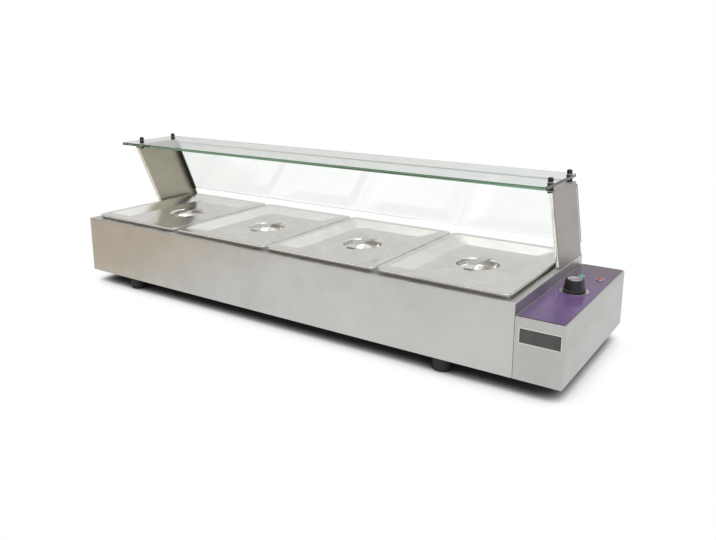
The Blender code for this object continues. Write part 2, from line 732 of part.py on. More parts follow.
def make_dial(metal):
    inner = BUSHING_RADIUS + GAP
    profile = [(inner, 0.0), (DIAL_RADIUS, 0.0), (DIAL_RADIUS, DIAL_SHEET), (inner, DIAL_SHEET)]
    mesh = turned_mesh("thermostat_dial", profile, 2 * ROUND_SEGMENTS, bored=True)
    return make_object("thermostat_dial", mesh, metal, (KNOB_X, KNOB_Y, OVERLAY_TOP_Z + GAP))


def fluted(radius, height, point):
    """Radius of the knob at a point of its round: flutes on the grip, none on the skirt or the cap."""
    if height <= KNOB_SKIRT_HEIGHT or radius <= KNOB_CAP_RADIUS:
        return radius
    angle = math.atan2(point.y, point.x)
    return radius - KNOB_FLUTE * (1 - math.cos(KNOB_FLUTES * angle)) / 2


def make_knob(plastic):
    grip_foot = KNOB_SKIRT_HEIGHT + KNOB_CAP_SINK
    shoulder = KNOB_HEIGHT - KNOB_CAP_SINK
    profile = [
        (KNOB_SKIRT_RADIUS, 0.0),
        (KNOB_SKIRT_RADIUS, KNOB_SKIRT_HEIGHT),
        (KNOB_RADIUS, grip_foot),
        (KNOB_TOP_RADIUS, shoulder),
        (KNOB_TOP_RADIUS - KNOB_CAP_SINK, KNOB_HEIGHT),
        (KNOB_CAP_RADIUS, KNOB_HEIGHT),
        (KNOB_CAP_RADIUS, shoulder),
    ]
    mesh = turned_mesh("thermostat_knob", profile, 4 * KNOB_FLUTES, radius_at=fluted)
    place = (KNOB_X, KNOB_Y, DIAL_TOP_Z + RUN_CLEARANCE)
    knob = make_object("thermostat_knob", mesh, plastic, place)
    relief = BUSHING_RADIUS + RUN_CLEARANCE
    drill(knob, "knob_relief", relief, BUSHING_RISE + RUN_CLEARANCE, place)
    drill(knob, "knob_bore", SPINDLE_RADIUS + GAP, KNOB_BORE_DEPTH, place)
    return knob


def make_lamp(name, across, lens):
    """Signal lamp: stem through the panel, bezel on it and a domed lens."""
    rim = LAMP_BEZEL_HEIGHT
    profile = [
        (LAMP_STEM_RADIUS, -LAMP_STEM_LENGTH),
        (LAMP_STEM_RADIUS, 0.0),
        (LAMP_BEZEL_RADIUS, 0.0),
        (LAMP_BEZEL_RADIUS, rim / 2),
        ((LAMP_BEZEL_RADIUS + LAMP_LENS_RADIUS) / 2, rim),
        (LAMP_LENS_RADIUS, rim),
    ]
    for step in range(1, CORNER_STEPS):
        angle = step / CORNER_STEPS * math.pi / 2
        profile.append((LAMP_LENS_RADIUS * math.cos(angle), rim + LAMP_LENS_RISE * math.sin(angle)))
    mesh = turned_mesh(name, profile, ROUND_SEGMENTS)
    return make_object(name, mesh, lens, (RIGHT_X + across, LAMP_Y, OVERLAY_TOP_Z + GAP))


def make_gland(plastic):
    """Cable gland in the rear wall, with an open bore."""
    dome = GLAND_REACH - GLAND_COLLAR - GAP
    profile = [
        (GLAND_BORE, -GLAND_THREAD_LENGTH),
        (GLAND_THREAD_RADIUS, -GLAND_THREAD_LENGTH),
        (GLAND_THREAD_RADIUS, 0.0),
        (GLAND_NUT_RADIUS, 0.0),
        (GLAND_NUT_RADIUS, GLAND_COLLAR),
        (GLAND_DOME_RADIUS, GLAND_COLLAR),
        (GLAND_DOME_RADIUS, GLAND_COLLAR + dome / 2),
        ((GLAND_DOME_RADIUS + GLAND_BORE) / 2, GLAND_COLLAR + dome),
        (GLAND_BORE, GLAND_COLLAR + dome),
    ]
    mesh = turned_mesh("cable_gland", profile, SMALL_SEGMENTS, bored=True)
    place = (RIGHT_X + GLAND_ACROSS, FRONT_Y + BODY_DEPTH + GAP, BASE_Z + GLAND_LIFT)
    return make_object("cable_gland", mesh, plastic, place, TOWARDS_REAR)


# Drain tap

def make_tap_body(chrome):
    """Barrel along X with a threaded tail through both walls, a spout down and a boss for the lever."""
    wall = LEFT_X - GAP
    tail = TANK_INSET + TAP_THREAD_TAIL
    reach = TAP_REACH - GAP
    profile = [
        (TAP_THREAD_RADIUS, -tail),
        (TAP_THREAD_RADIUS, 0.0),
        (TAP_COLLAR_RADIUS, 0.0),
        (TAP_COLLAR_RADIUS, TAP_COLLAR_LENGTH),
        (TAP_BARREL_RADIUS, TAP_COLLAR_LENGTH),
        (TAP_BARREL_RADIUS, reach - LEVER_SHEET),
        (TAP_SPOUT_RADIUS, reach),
    ]
    place = Vector((wall, FRONT_Y + TAP_BACK, BASE_Z + TAP_LIFT))
    mesh = turned_mesh("drain_tap", profile, ROUND_SEGMENTS)
    body = make_object("drain_tap", mesh, chrome, place, TOWARDS_LEFT)
    spout_x = wall - reach + TAP_SPOUT_INSET
    spout = turned_mesh("tap_spout", [(TAP_SPOUT_RADIUS, -TAP_SPOUT_DROP), (TAP_SPOUT_RADIUS, 0.0)],
                        SMALL_SEGMENTS)
    weld(body, make_object("tap_spout", spout, chrome, (spout_x, place.y, place.z)))
    boss = turned_mesh("tap_boss", [(TAP_BOSS_RADIUS, 0.0), (TAP_BOSS_RADIUS, TAP_BOSS_RISE)], SMALL_SEGMENTS)
    weld(body, make_object("tap_boss", boss, chrome, (lever_x(), place.y, place.z)))
    inlet_end = lever_x() + TAP_WEB - LEFT_X
    inlet_reach = (TANK_INSET + TAP_THREAD_TAIL - inlet_end) / 2 + CUT_OVERRUN
    inlet_x = LEFT_X + inlet_end + inlet_reach
    drill(body, "tap_inlet", TAP_BORE, inlet_reach, (inlet_x, place.y, place.z), TOWARDS_LEFT)
    drill(body, "tap_outlet", TAP_BORE, TAP_SPOUT_DROP - TAP_WEB, (spout_x, place.y, place.z - TAP_SPOUT_DROP))
    pin_place = (lever_x(), place.y, place.z + TAP_BOSS_RISE)
    drill(body, "lever_pin_bore", LEVER_PIN_RADIUS + GAP, LEVER_PIN_LENGTH + GAP, pin_place)
    return body


def lever_x():
    return LEFT_X - TAP_COLLAR_LENGTH - TAP_BARREL_RADIUS


def make_tap_nut(chrome):
    outline = circle(TAP_NUT_RADIUS, 6)
    start = TANK_INSET + GAP
    mesh = prism_mesh("drain_nut", outline, start, start + TAP_NUT_LENGTH)
    place = (LEFT_X, FRONT_Y + TAP_BACK, BASE_Z + TAP_LIFT)
    nut = make_object("drain_nut", mesh, chrome, place, TOWARDS_RIGHT)
    middle = (LEFT_X + start + TAP_NUT_LENGTH / 2, place[1], place[2])
    drill(nut, "nut_bore", TAP_THREAD_RADIUS + GAP, TAP_NUT_LENGTH, middle, TOWARDS_LEFT, ROUND_SEGMENTS)
    return nut


def lever_outline():
    """Flat lever from its round hub to its smaller round tip, along +Y."""
    points = []
    reach = LEVER_LENGTH - LEVER_HUB_RADIUS - LEVER_TIP_RADIUS
    lean = math.asin((LEVER_HUB_RADIUS - LEVER_TIP_RADIUS) / reach)
    steps = 2 * CORNER_STEPS
    for step in range(steps + 1):
        angle = lean + (math.pi - 2 * lean) * step / steps
        points.append((LEVER_TIP_RADIUS * math.cos(angle), reach + LEVER_TIP_RADIUS * math.sin(angle)))
    for step in range(steps + 1):
        angle = math.pi - lean + (math.pi + 2 * lean) * step / steps
        points.append((LEVER_HUB_RADIUS * math.cos(angle), LEVER_HUB_RADIUS * math.sin(angle)))
    return points


def make_tap_lever(steel):
    mesh = prism_mesh("drain_lever", lever_outline(), GAP, GAP + LEVER_SHEET)
    place = (lever_x(), FRONT_Y + TAP_BACK, BASE_Z + TAP_LIFT + TAP_BOSS_RISE)
    lever = make_object("drain_lever", mesh, steel, place)
    profile = [(LEVER_PIN_RADIUS, -LEVER_PIN_LENGTH), (LEVER_PIN_RADIUS, LEVER_SHEET / 2)]
    pin = turned_mesh("lever_pin", profile, SMALL_SEGMENTS)
    weld(lever, make_object("lever_pin", pin, steel, place))
    return lever


# Side brackets, trims and glass

def bracket_section():
    """Level section of the bracket as (inward x, y): the plate and its rear flange."""
    across = BRACKET_SHEET / math.cos(LEAN_ANGLE)
    return [(0.0, -BRACKET_DEPTH), (BRACKET_SHEET, -BRACKET_DEPTH), (BRACKET_SHEET, -across),
            (BRACKET_REAR_FLANGE, -across), (BRACKET_REAR_FLANGE, 0.0), (0.0, 0.0)]


def bracket_flanges():
    """The level flanges: name, width inward, underside height and how far the plate has leant there."""
    return [
        ("foot", BRACKET_FOOT_FLANGE, 0.0, 0.0),
        ("top", BRACKET_TOP_FLANGE, BRACKET_HEIGHT - BRACKET_SHEET, BRACKET_LEAN),
    ]


def clamp_places():
    """Distances of the two clamps of a bracket from its rear edge at the top."""
    return (BRACKET_DEPTH - CLAMP_END_ROOM, CLAMP_END_ROOM)


def bracket_face_x(side):
    """X of the bracket's outer face: side is -1 at the left end and 1 at the right end."""
    return LEFT_X + BRACKET_SETBACK if side < 0 else RIGHT_X - BRACKET_SETBACK


def make_bracket(name, side, steel):
    """Leaning sheet bracket: plate and rear flange in one sloped section, level flanges at foot and top."""
    place = (bracket_face_x(side), BRACKET_REAR_Y, DECK_Z + GAP)
    lean = Matrix.Identity(4)
    lean[1][2] = -BRACKET_LEAN / BRACKET_HEIGHT
    section = [(-side * x, y) for x, y in bracket_section()]
    mesh = prism_mesh(name, section, 0.0, BRACKET_HEIGHT, lean)
    bracket = make_object(name, mesh, steel, place)
    length = BRACKET_DEPTH - 2 * BRACKET_RELIEF - BRACKET_SHEET
    for flange_name, width, low, leant in bracket_flanges():
        full_name = f"{name}_{flange_name}"
        reach = width - BRACKET_SHEET / 2
        offset = (-side * (BRACKET_SHEET / 2 + reach / 2), -leant - BRACKET_DEPTH / 2, low + BRACKET_SHEET / 2)
        flange_mesh = box_mesh(full_name, (reach, length, BRACKET_SHEET), offset)
        weld(bracket, make_object(full_name, flange_mesh, steel, place))
    for index, distance in enumerate(clamp_places()):
        hole = (clamp_x(side), BRACKET_REAR_Y - BRACKET_LEAN - distance, BRACKET_TOP_Z)
        drill(bracket, f"{name}_stud_hole_{index + 1}", CLAMP_STUD_RADIUS + GAP, CUT_OVERRUN, hole)
    return bracket


def clamp_x(side):
    return bracket_face_x(side) - side * CLAMP_INSET


def lean_place(side, up):
    """A point on the rear face line of a bracket, at a height above the bracket's foot."""
    return Vector((bracket_face_x(side), BRACKET_REAR_Y - math.tan(LEAN_ANGLE) * up, DECK_Z + GAP + up))


def pane_length_up():
    return (BRACKET_HEIGHT - PANE_FOOT_GAP - PANE_HEAD_GAP) / math.cos(LEAN_ANGLE)


def make_trim(name, side, rubber):
    """Push-on seal round the free edge of the bracket's rear flange."""
    edge = BRACKET_REAR_FLANGE
    start = edge - TRIM_COVER
    inner_end = edge + GAP
    outer_end = inner_end + TRIM_SHEET
    front = -BRACKET_SHEET - GAP
    rear = GAP
    outline = [(start, front), (start, front - TRIM_SHEET), (outer_end, front - TRIM_SHEET),
               (outer_end, rear + TRIM_SHEET), (start, rear + TRIM_SHEET), (start, rear),
               (inner_end, rear), (inner_end, front)]
    outline = [(-side * x, y) for x, y in outline]
    mesh = prism_mesh(name, outline, 0.0, pane_length_up())
    return make_object(name, mesh, rubber, lean_place(side, PANE_FOOT_GAP), (LEAN_ANGLE, 0.0, 0.0))


def make_pane(glass):
    """Leaning rear glass on the seals of both brackets."""
    length = MAIN_LENGTH - 2 * BRACKET_SETBACK
    height = pane_length_up()
    outline = rounded_loop(length / 2, height / 2, PANE_CORNER, BEND_STEPS)
    start = 2 * GAP + TRIM_SHEET
    turn = Matrix.Translation((length / 2, 0.0, height / 2)) @ FROM_XZ
    mesh = prism_mesh("rear_glass", outline, -start - PANE_SHEET, -start, turn)
    return make_object("rear_glass", mesh, glass, lean_place(-1, PANE_FOOT_GAP), (LEAN_ANGLE, 0.0, 0.0))


def make_shelf(glass):
    """Flat top glass on the clamps, drilled for their studs."""
    rear_y = BRACKET_REAR_Y - BRACKET_LEAN + SHELF_REAR_OVERHANG
    front_y = BRACKET_REAR_Y - BRACKET_LEAN - BRACKET_DEPTH - SHELF_FRONT_OVERHANG
    outline = rounded_loop(MAIN_LENGTH / 2, (rear_y - front_y) / 2, SHELF_CORNER)
    mesh = prism_mesh("top_glass", outline, 0.0, SHELF_SHEET)
    shelf = make_object("top_glass", mesh, glass, (MAIN_X, (front_y + rear_y) / 2, SHELF_Z))
    add_bevel(shelf, SHELF_EDGE, 1)
    for side, side_name in ((-1, "left"), (1, "right")):
        for index, distance in enumerate(clamp_places()):
            hole = (clamp_x(side), BRACKET_REAR_Y - BRACKET_LEAN - distance, SHELF_Z)
            name = f"shelf_hole_{side_name}_{index + 1}"
            drill(shelf, name, CLAMP_STUD_RADIUS + RUN_CLEARANCE, 2 * SHELF_SHEET, hole)
    return shelf


def make_clamp(name, side, distance, rubber):
    """Glass clamp: nut and stud through the bracket's flange, pad under the glass and cap over it."""
    seat = GAP + CLAMP_PAD_HEIGHT
    cap = seat + 2 * GAP + SHELF_SHEET
    low = -BRACKET_SHEET - GAP
    profile = [
        (CLAMP_NUT_RADIUS, low - CLAMP_NUT_HEIGHT),
        (CLAMP_NUT_RADIUS, low),
        (CLAMP_STUD_RADIUS, low),
        (CLAMP_STUD_RADIUS, GAP),
        (CLAMP_PAD_RADIUS, GAP),
        (CLAMP_PAD_RADIUS, seat),
        (CLAMP_STUD_RADIUS, seat),
        (CLAMP_STUD_RADIUS, cap),
        (CLAMP_CAP_RADIUS, cap),
        (CLAMP_CAP_RADIUS, cap + CLAMP_CAP_HEIGHT - CLAMP_CAP_ROUND),
        (CLAMP_CAP_RADIUS - CLAMP_CAP_ROUND, cap + CLAMP_CAP_HEIGHT),
    ]
    mesh = turned_mesh(name, profile, SMALL_SEGMENTS)
    y = BRACKET_REAR_Y - BRACKET_LEAN - distance
    return make_object(name, mesh, rubber, (clamp_x(side), y, BRACKET_TOP_Z))


# Feet

def make_foot(name, side_x, side_y, rubber):
    """Tapered foot: its shoulder bears on the casing, its spigot on the bottom plate."""
    shoulder = FOOT_HEIGHT - GAP
    spigot_radius = FOOT_SIDE_MARGIN - BOTTOM_RETURN - RUN_CLEARANCE
    profile = [
        (FOOT_RECESS_RADIUS, FOOT_RECESS_DEPTH),
        (FOOT_RECESS_RADIUS, 0.0),
        (FOOT_TREAD_RADIUS - FOOT_EDGE, 0.0),
        (FOOT_TREAD_RADIUS, FOOT_EDGE),
        (FOOT_RADIUS, shoulder - FOOT_EDGE),
        (FOOT_RADIUS - FOOT_EDGE, shoulder),
        (spigot_radius, shoulder),
        (spigot_radius, FOOT_HEIGHT + SHEET),
    ]
    mesh = turned_mesh(name, profile, ROUND_SEGMENTS)
    x = MAIN_X + side_x * (MAIN_LENGTH / 2 - FOOT_END_MARGIN)
    y = MAIN_Y + side_y * (BODY_DEPTH / 2 - FOOT_SIDE_MARGIN)
    return make_object(name, mesh, rubber, (x, y, 0.0))


# The whole counter

def clear_scene():
    for item in list(bpy.data.objects):
        bpy.data.objects.remove(item)


def build_body(steel, tank_steel):
    make_casing(steel)
    make_tank(tank_steel)
    make_tank_floor(tank_steel)
    make_bottom_plate(steel)
    for index in range(PAN_COUNT - 1):
        make_bar(index, steel)


def build_pans(pan_steel, lid_steel, handle_steel):
    for index in range(PAN_COUNT):
        pan = make_pan(index, pan_steel)
        lid = make_lid(index, pan, lid_steel)
        make_handle(index, lid, handle_steel)


def build_controls(steel, overlay, plastic, metal, green, red):
    make_control_box(steel)
    make_overlay(overlay)
    make_thermostat(plastic)
    make_spindle(metal)
    make_dial(metal)
    make_knob(plastic)
    make_lamp("green_lamp", GREEN_LAMP_ACROSS, green)
    make_lamp("red_lamp", RED_LAMP_ACROSS, red)
    make_gland(plastic)


def build_guard(steel, rubber, glass):
    for side, side_name in ((-1, "left"), (1, "right")):
        make_bracket(f"{side_name}_bracket", side, steel)
        make_trim(f"{side_name}_pane_trim", side, rubber)
        for distance, end in zip(clamp_places(), ("front", "rear")):
            make_clamp(f"{side_name}_{end}_clamp", side, distance, rubber)
    make_shelf(glass)
    make_pane(glass)


def build_feet(rubber):
    for side_x, name_x in ((-1, "left"), (1, "right")):
        for side_y, name_y in ((-1, "front"), (1, "rear")):
            make_foot(f"foot_{name_y}_{name_x}", side_x, side_y, rubber)


def main():
    clear_scene()
    steel = make_material("casing_steel", (0.62, 0.61, 0.59), 0.32, 1.0)
    tank_steel = make_material("tank_steel", (0.55, 0.55, 0.54), 0.4, 1.0)
    pan_steel = make_material("pan_steel", (0.7, 0.69, 0.66), 0.28, 1.0)
    lid_steel = make_material("lid_steel", (0.7, 0.7, 0.68), 0.25, 1.0)
    handle_steel = make_material("handle_steel", (0.72, 0.72, 0.71), 0.2, 1.0)
    element_steel = make_material("element_steel", (0.3, 0.29, 0.28), 0.45, 1.0)
    overlay = make_material("overlay_purple", (0.2, 0.13, 0.3), 0.3, 0.0)
    plastic = make_material("black_plastic", (0.02, 0.02, 0.02), 0.35, 0.0)
    metal = make_material("dial_aluminium", (0.7, 0.7, 0.72), 0.3, 1.0)
    green = make_material("green_lens", (0.03, 0.4, 0.25), 0.2, 0.0)
    red = make_material("red_lens", (0.5, 0.05, 0.04), 0.2, 0.0)
    chrome = make_material("tap_chrome", (0.75, 0.75, 0.74), 0.15, 1.0)
    rubber = make_material("black_rubber", (0.02, 0.02, 0.02), 0.7, 0.0)
    glass = make_material("glass", (0.82, 0.93, 0.88), 0.02, 0.0, 1.0)
    build_body(steel, tank_steel)
    build_pans(pan_steel, lid_steel, handle_steel)
    make_element(element_steel)
    make_element_plate(element_steel)
    build_controls(steel, overlay, plastic, metal, green, red)
    make_tap_body(chrome)
    make_tap_nut(chrome)
    make_tap_lever(handle_steel)
    build_guard(steel, rubber, glass)
    build_feet(rubber)


main()
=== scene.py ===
"""Looks of a bain marie display counter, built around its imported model.

Lengths are in metres, with Z up and the counter's front towards -Y.
"""
import math

import bmesh
import bpy
from mathutils import Matrix, Vector


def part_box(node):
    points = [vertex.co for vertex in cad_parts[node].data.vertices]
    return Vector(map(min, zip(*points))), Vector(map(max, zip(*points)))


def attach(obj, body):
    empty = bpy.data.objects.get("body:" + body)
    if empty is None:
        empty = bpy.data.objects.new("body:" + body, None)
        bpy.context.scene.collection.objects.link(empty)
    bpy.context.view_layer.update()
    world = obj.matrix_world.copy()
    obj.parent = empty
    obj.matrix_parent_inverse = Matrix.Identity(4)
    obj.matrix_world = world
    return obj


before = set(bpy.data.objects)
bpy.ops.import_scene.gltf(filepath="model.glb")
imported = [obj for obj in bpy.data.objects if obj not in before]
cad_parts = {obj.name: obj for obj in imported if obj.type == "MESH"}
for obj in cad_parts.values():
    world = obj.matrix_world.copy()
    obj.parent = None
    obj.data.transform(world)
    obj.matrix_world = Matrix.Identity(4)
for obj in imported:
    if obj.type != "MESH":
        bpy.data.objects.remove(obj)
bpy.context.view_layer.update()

# The picture and its camera
IMAGE_WIDTH = 716
IMAGE_HEIGHT = 540
FOCAL_PIXELS = 715.96
CENTRE_ROW = 217.05
SENSOR_WIDTH = 36.0
CAMERA_PLACE = (0.9286, -1.2369, 0.5545)
CAMERA_YAW = 0.5924
CAMERA_PITCH = 0.2277
CLIP_NEAR = 0.02
CLIP_FAR = 60.0

# Colours
WHITE = (1.0, 1.0, 1.0, 1.0)
SRGB_TOP = 255.0
SRGB_STRAIGHT_END = 0.04045
SRGB_STRAIGHT_SLOPE = 12.92
SRGB_OFFSET = 0.055
SRGB_POWER = 2.4

# The studio's floor
FLOOR_HALF = 9.0
FLOOR_DROP = 0.0004
FLOOR_COLOUR = (0.9, 0.9, 0.9)
FLOOR_SHADE_COLOUR = (0.1, 0.1, 0.1)
FLOOR_SHADE_REACH = 0.08
FLOOR_SHADE_SAMPLES = 16
FLOOR_DARK_OPENNESS = 0.22
FLOOR_WHITE_OPENNESS = 0.74
FLOOR_WARM_COLOUR = (0.84, 0.74, 0.6, 1.0)
FLOOR_WARM_RANGE = (-0.2, -0.75)

# What surrounds it, as a share of white
AMBIENT_LEVEL = 0.62
HORIZON_LEVEL = 0.66
ZENITH_LEVEL = 1.0
HORIZON_RISE = (0.36, 0.7)
DARK_SIDE = (-0.86, -0.5, 0.05)
DARK_SIDE_COLOUR = (0.14, 0.11, 0.08, 1.0)
DARK_SIDE_REACH = (0.55, 0.9)
DARK_SIDE_SHARE = 0.85

# Each lamp's place, size and power
LAMPS = {
    "key_lamp": ((1.2, -1.6, 2.6), 2.2, 34.0),
    "fill_lamp": ((-2.2, -1.2, 2.2), 2.0, 10.0),
    "top_lamp": ((0.0, 0.6, 2.6), 2.4, 16.0),
}
LAMP_AIM = (0.0, 0.0, 0.12)

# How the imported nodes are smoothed
WELD_REACH = 0.00001
FLAT_ANGLE = math.radians(0.4)
SMOOTH_ANGLE = math.radians(32.0)
EDGE_ROUND = 0.0003
GLASS_EDGE_ROUND = 0.0006
EDGE_STEPS = 2

# Pattern sizes
GRAIN_WIDTH = 0.0005
GRAIN_LENGTH = 0.06
CLOUD_SIZE = 0.16
SMEAR_SIZE = 0.035
SMEAR_STRETCH = 3.0
SCRATCH_WIDTH = 0.0007
SCRATCH_LENGTH = 0.12
MOULD_GRAIN = 0.0009
LENS_CLOUD = 0.0036
FILM_GRAIN = 0.0006
PRESS_WAVE = 0.08

# Kinds of noise, and the part of its range that a pattern uses
SOFT_NOISE = {"detail": 3.0}
WAVE_NOISE = {"detail": 1.0}
FILM_NOISE = {"detail": 2.0}
GRAIN_NOISE = {"detail": 4.0, "roughness": 0.65}
SCRATCH_NOISE = {"detail": 1.0, "roughness": 0.5}
RUB_NOISE = {"detail": 4.0, "roughness": 0.6}
SPOT_NOISE = {"detail": 4.0, "roughness": 0.6, "distortion": 0.6}
SMEAR_NOISE = {"detail": 4.0, "roughness": 0.6, "distortion": 0.8}
NOISE_ROUGHNESS = 0.55
NOISE_RANGE = (0.3, 0.7)
SCRATCH_RANGE = (0.66, 0.74)

# Pattern heights and how strongly they show
BRUSH_HEIGHT = 0.00001
FINE_BRUSH_HEIGHT = 0.000006
PRESS_WAVE_HEIGHT = 0.0004
MOULD_HEIGHT = 0.00003
FILM_HEIGHT = 0.00002
BRUSH_STRENGTH = 0.5
POLISH_STRENGTH = 0.15
PRESS_WAVE_STRENGTH = 0.3
MOULD_STRENGTH = 0.5
FILM_STRENGTH = 0.4

# How far the grain sways the roughness
BRUSH_SWAY = 0.05
POLISH_SWAY = 0.03
MOULD_SWAY = 0.04
FILM_SWAY = 0.03

# Brushed metals: light and dark sRGB tones, least and most roughness, the grain's axis
BRUSHED_METALS = {
    "casing_steel": ((206, 206, 204), (188, 187, 184), 0.3, 0.42, 0),
    # The two uprights are one steel in two tones: the warm tan on the left is a painted reflection and the
    # darker grey on the right is painted shade.
    "left_upright_painted_reflection": ((190, 184, 170), (174, 168, 154), 0.42, 0.54, 2),
    "right_upright_painted_shade": ((179, 173, 169), (162, 155, 151), 0.42, 0.54, 2),
    "box_steel": ((197, 196, 194), (180, 179, 176), 0.3, 0.42, 1),
    "side_steel": ((202, 201, 199), (184, 182, 179), 0.3, 0.42, 1),
    "tank_steel": ((170, 169, 166), (140, 139, 136), 0.35, 0.5, 0),
    "element_steel": ((110, 100, 92), (70, 62, 58), 0.4, 0.6, 0),
    "spindle": ((186, 185, 182), (160, 159, 156), 0.25, 0.35, 2),
}
DIAL_METAL = ((214, 214, 216), (196, 196, 200), 0.3, 0.4, 0)
BRUSHED_ANISOTROPY = 0.4
DIAL_ANISOTROPY = 0.2

# Polished metals, and plastics and rubbers: light and dark sRGB tones, least and most roughness
POLISHED_METALS = {
    "pan_steel": ((226, 222, 214), (206, 202, 194), 0.2, 0.3),
    "lid_steel": ((243, 242, 238), (236, 235, 230), 0.18, 0.26),
    "handle_steel": ((238, 237, 234), (214, 213, 210), 0.1, 0.2),
    "tap_chrome": ((228, 227, 226), (210, 209, 208), 0.05, 0.12),
}
MOULDED_LOOKS = {
    "black_plastic": ((34, 33, 34), (20, 20, 21), 0.24, 0.4),
    "black_rubber": ((38, 37, 36), (22, 22, 22), 0.6, 0.8),
    "dial_print": ((44, 43, 46), (30, 30, 32), 0.4, 0.55),
    "bare_plate": ((78, 76, 74), (58, 56, 54), 0.22, 0.34),
}

# Lenses: light and dark sRGB tones, and glow
LENSES = {
    "green_lens": ((40, 176, 148), (24, 130, 112), 0.25),
    "red_lens": ((196, 52, 46), (140, 28, 26), 0.15),
}
LENS_CLEARNESS = 0.35
LENS_IOR = 1.49
LENS_COAT = 0.6
LENS_COAT_ROUGHNESS = 0.05
LENS_ROUGHNESS = (0.08, 0.2)

# Glass
GLASS_IOR = 1.5
GLASS_ROUGHNESS = (0.0, 0.03)
GLASS_DEPTH_TINT = (0.5, 0.74, 0.56, 1.0)
GLASS_DEPTH_DENSITY = 16.0

# The control panel's film, from its front edge to its rear one; the change of tone along it is painted
# reflection on the film's own violet
FILM_TONES_WITH_PAINTED_REFLECTION = ((100, 80, 122), (114, 86, 136), (98, 84, 92))
FILM_MIDDLE_SHARE = 0.45
FILM_WEAR = (0.9, 0.9, 0.9, 1.0)
FILM_IOR = 1.38
FILM_ROUGHNESS = (0.14, 0.24)

# Sizes and counts repeated from the solids
PAN_COUNT = 4
BRACKET_DEPTH = 0.128
BRACKET_SHEET = 0.0015
BRACKET_FOOT_FLANGE = 0.012
BOTTOM_RETURN = 0.015
DIAL_RADIUS = 0.026
KNOB_TOP_RADIUS = 0.0165
KNOB_CAP_RADIUS = 0.013
KNOB_CAP_SINK = 0.0008
LAMP_BEZEL_RADIUS = 0.0065
LAMP_LENS_RADIUS = 0.0048
LAMP_BEZEL_HEIGHT = 0.0018
HANDLE_FOOT = 0.01
HANDLE_SHEET = 0.0018
LEVER_HUB_RADIUS = 0.008

# How deep a piece's underside sits in what carries it
SEAT_SINK = 0.0001

# Bracket hems
HEM_WIDTH = 0.0065
HEM_SHEET = 0.0016
HEM_ROUND = 0.0005
HEM_START = 0.005
HEM_END = 0.004

# Screws, with the rings of the head as shares of its radius and its rise
SCREW_RADIUS = 0.003
SCREW_SEGMENTS = 32
SCREW_RISE_SHARE = 0.55
SCREW_RING_SHARES = ((1.0, 0.3), (0.93, 0.62), (0.78, 0.88), (0.58, 1.0))
SCREW_RECESS_SHARE = 0.46
SCREW_RECESS_FLOOR_SHARE = 0.3
SCREW_RECESS_FLOOR_RISE_SHARE = 0.35
SCREW_ARM_SHARE = 0.22
SCREW_ARM_POWER = 6.0
BASE_SCREW_SHARES = (0.06, 0.35, 0.65, 0.94)
END_SCREW_SHARES = (0.25, 0.75)
BRACKET_SCREW_SHARES = (0.2, 0.8)
BASE_SCREW_TURN = 0.7
END_SCREW_TURN = 0.4
BRACKET_SCREW_TURN = 0.5
BOX_SCREW_INSET = 0.009

# The bare plate at the front of the control box
BADGE_LENGTH = 0.0715
BADGE_HEIGHT = 0.027
BADGE_FROM_LEFT = 0.0075
BADGE_FROM_TOP = 0.0175
BADGE_RIM = 0.0011
BADGE_RIM_RISE = 0.0001
BADGE_FACE_RISE = 0.00015
BADGE_BACK = 0.0004
BADGE_CORNER = 0.0022
BADGE_CORNER_STEPS = 6

# Dial, knob and lamps
DIAL_NUMBERS = ("0", "30", "50", "70", "90", "110")
DIAL_START = math.radians(225.0)
DIAL_TURN = math.radians(270.0)
DIAL_NUMBER_RADIUS = 0.0229
DIAL_NUMBER_SIZE = 0.0031
DIAL_TICK_LENGTH = 0.0011
DIAL_TICK_WIDTH = 0.00035
DIAL_TICK_INSET = 0.0005
DIAL_TICK_STEPS = 4
MARK_RISE = 0.00006
CAP_CLEARANCE = 0.0002
CAP_DISH = 0.0003
CAP_RIM_INSET = 0.0009
CAP_DISH_INSET = 0.0015
CAP_SEGMENTS = 48
POINTER_WIDTH = 0.0014
POINTER_INNER = 0.0045
POINTER_RISE = 0.0002
RING_SEGMENTS = 40
RING_COVER = 0.0004
RING_RISE = 0.0006
RING_ROUND = 0.0003

# Spot welds on the lids' straps, with their rings as shares of radius and rise
WELD_RADIUS = 0.0015
WELD_RISE = 0.0003
WELD_RING_SHARES = ((0.9, 0.5), (0.6, 1.0), (0.3, 0.6))
WELD_ACROSS = 0.0045
WELD_SEGMENTS = 16


def linear(red, green, blue):
    """The linear colour of an sRGB colour given as 0 to 255."""
    def one(value):
        share = value / SRGB_TOP
        if share <= SRGB_STRAIGHT_END:
            return share / SRGB_STRAIGHT_SLOPE
        return ((share + SRGB_OFFSET) / (1.0 + SRGB_OFFSET)) ** SRGB_POWER
    return (one(red), one(green), one(blue), 1.0)


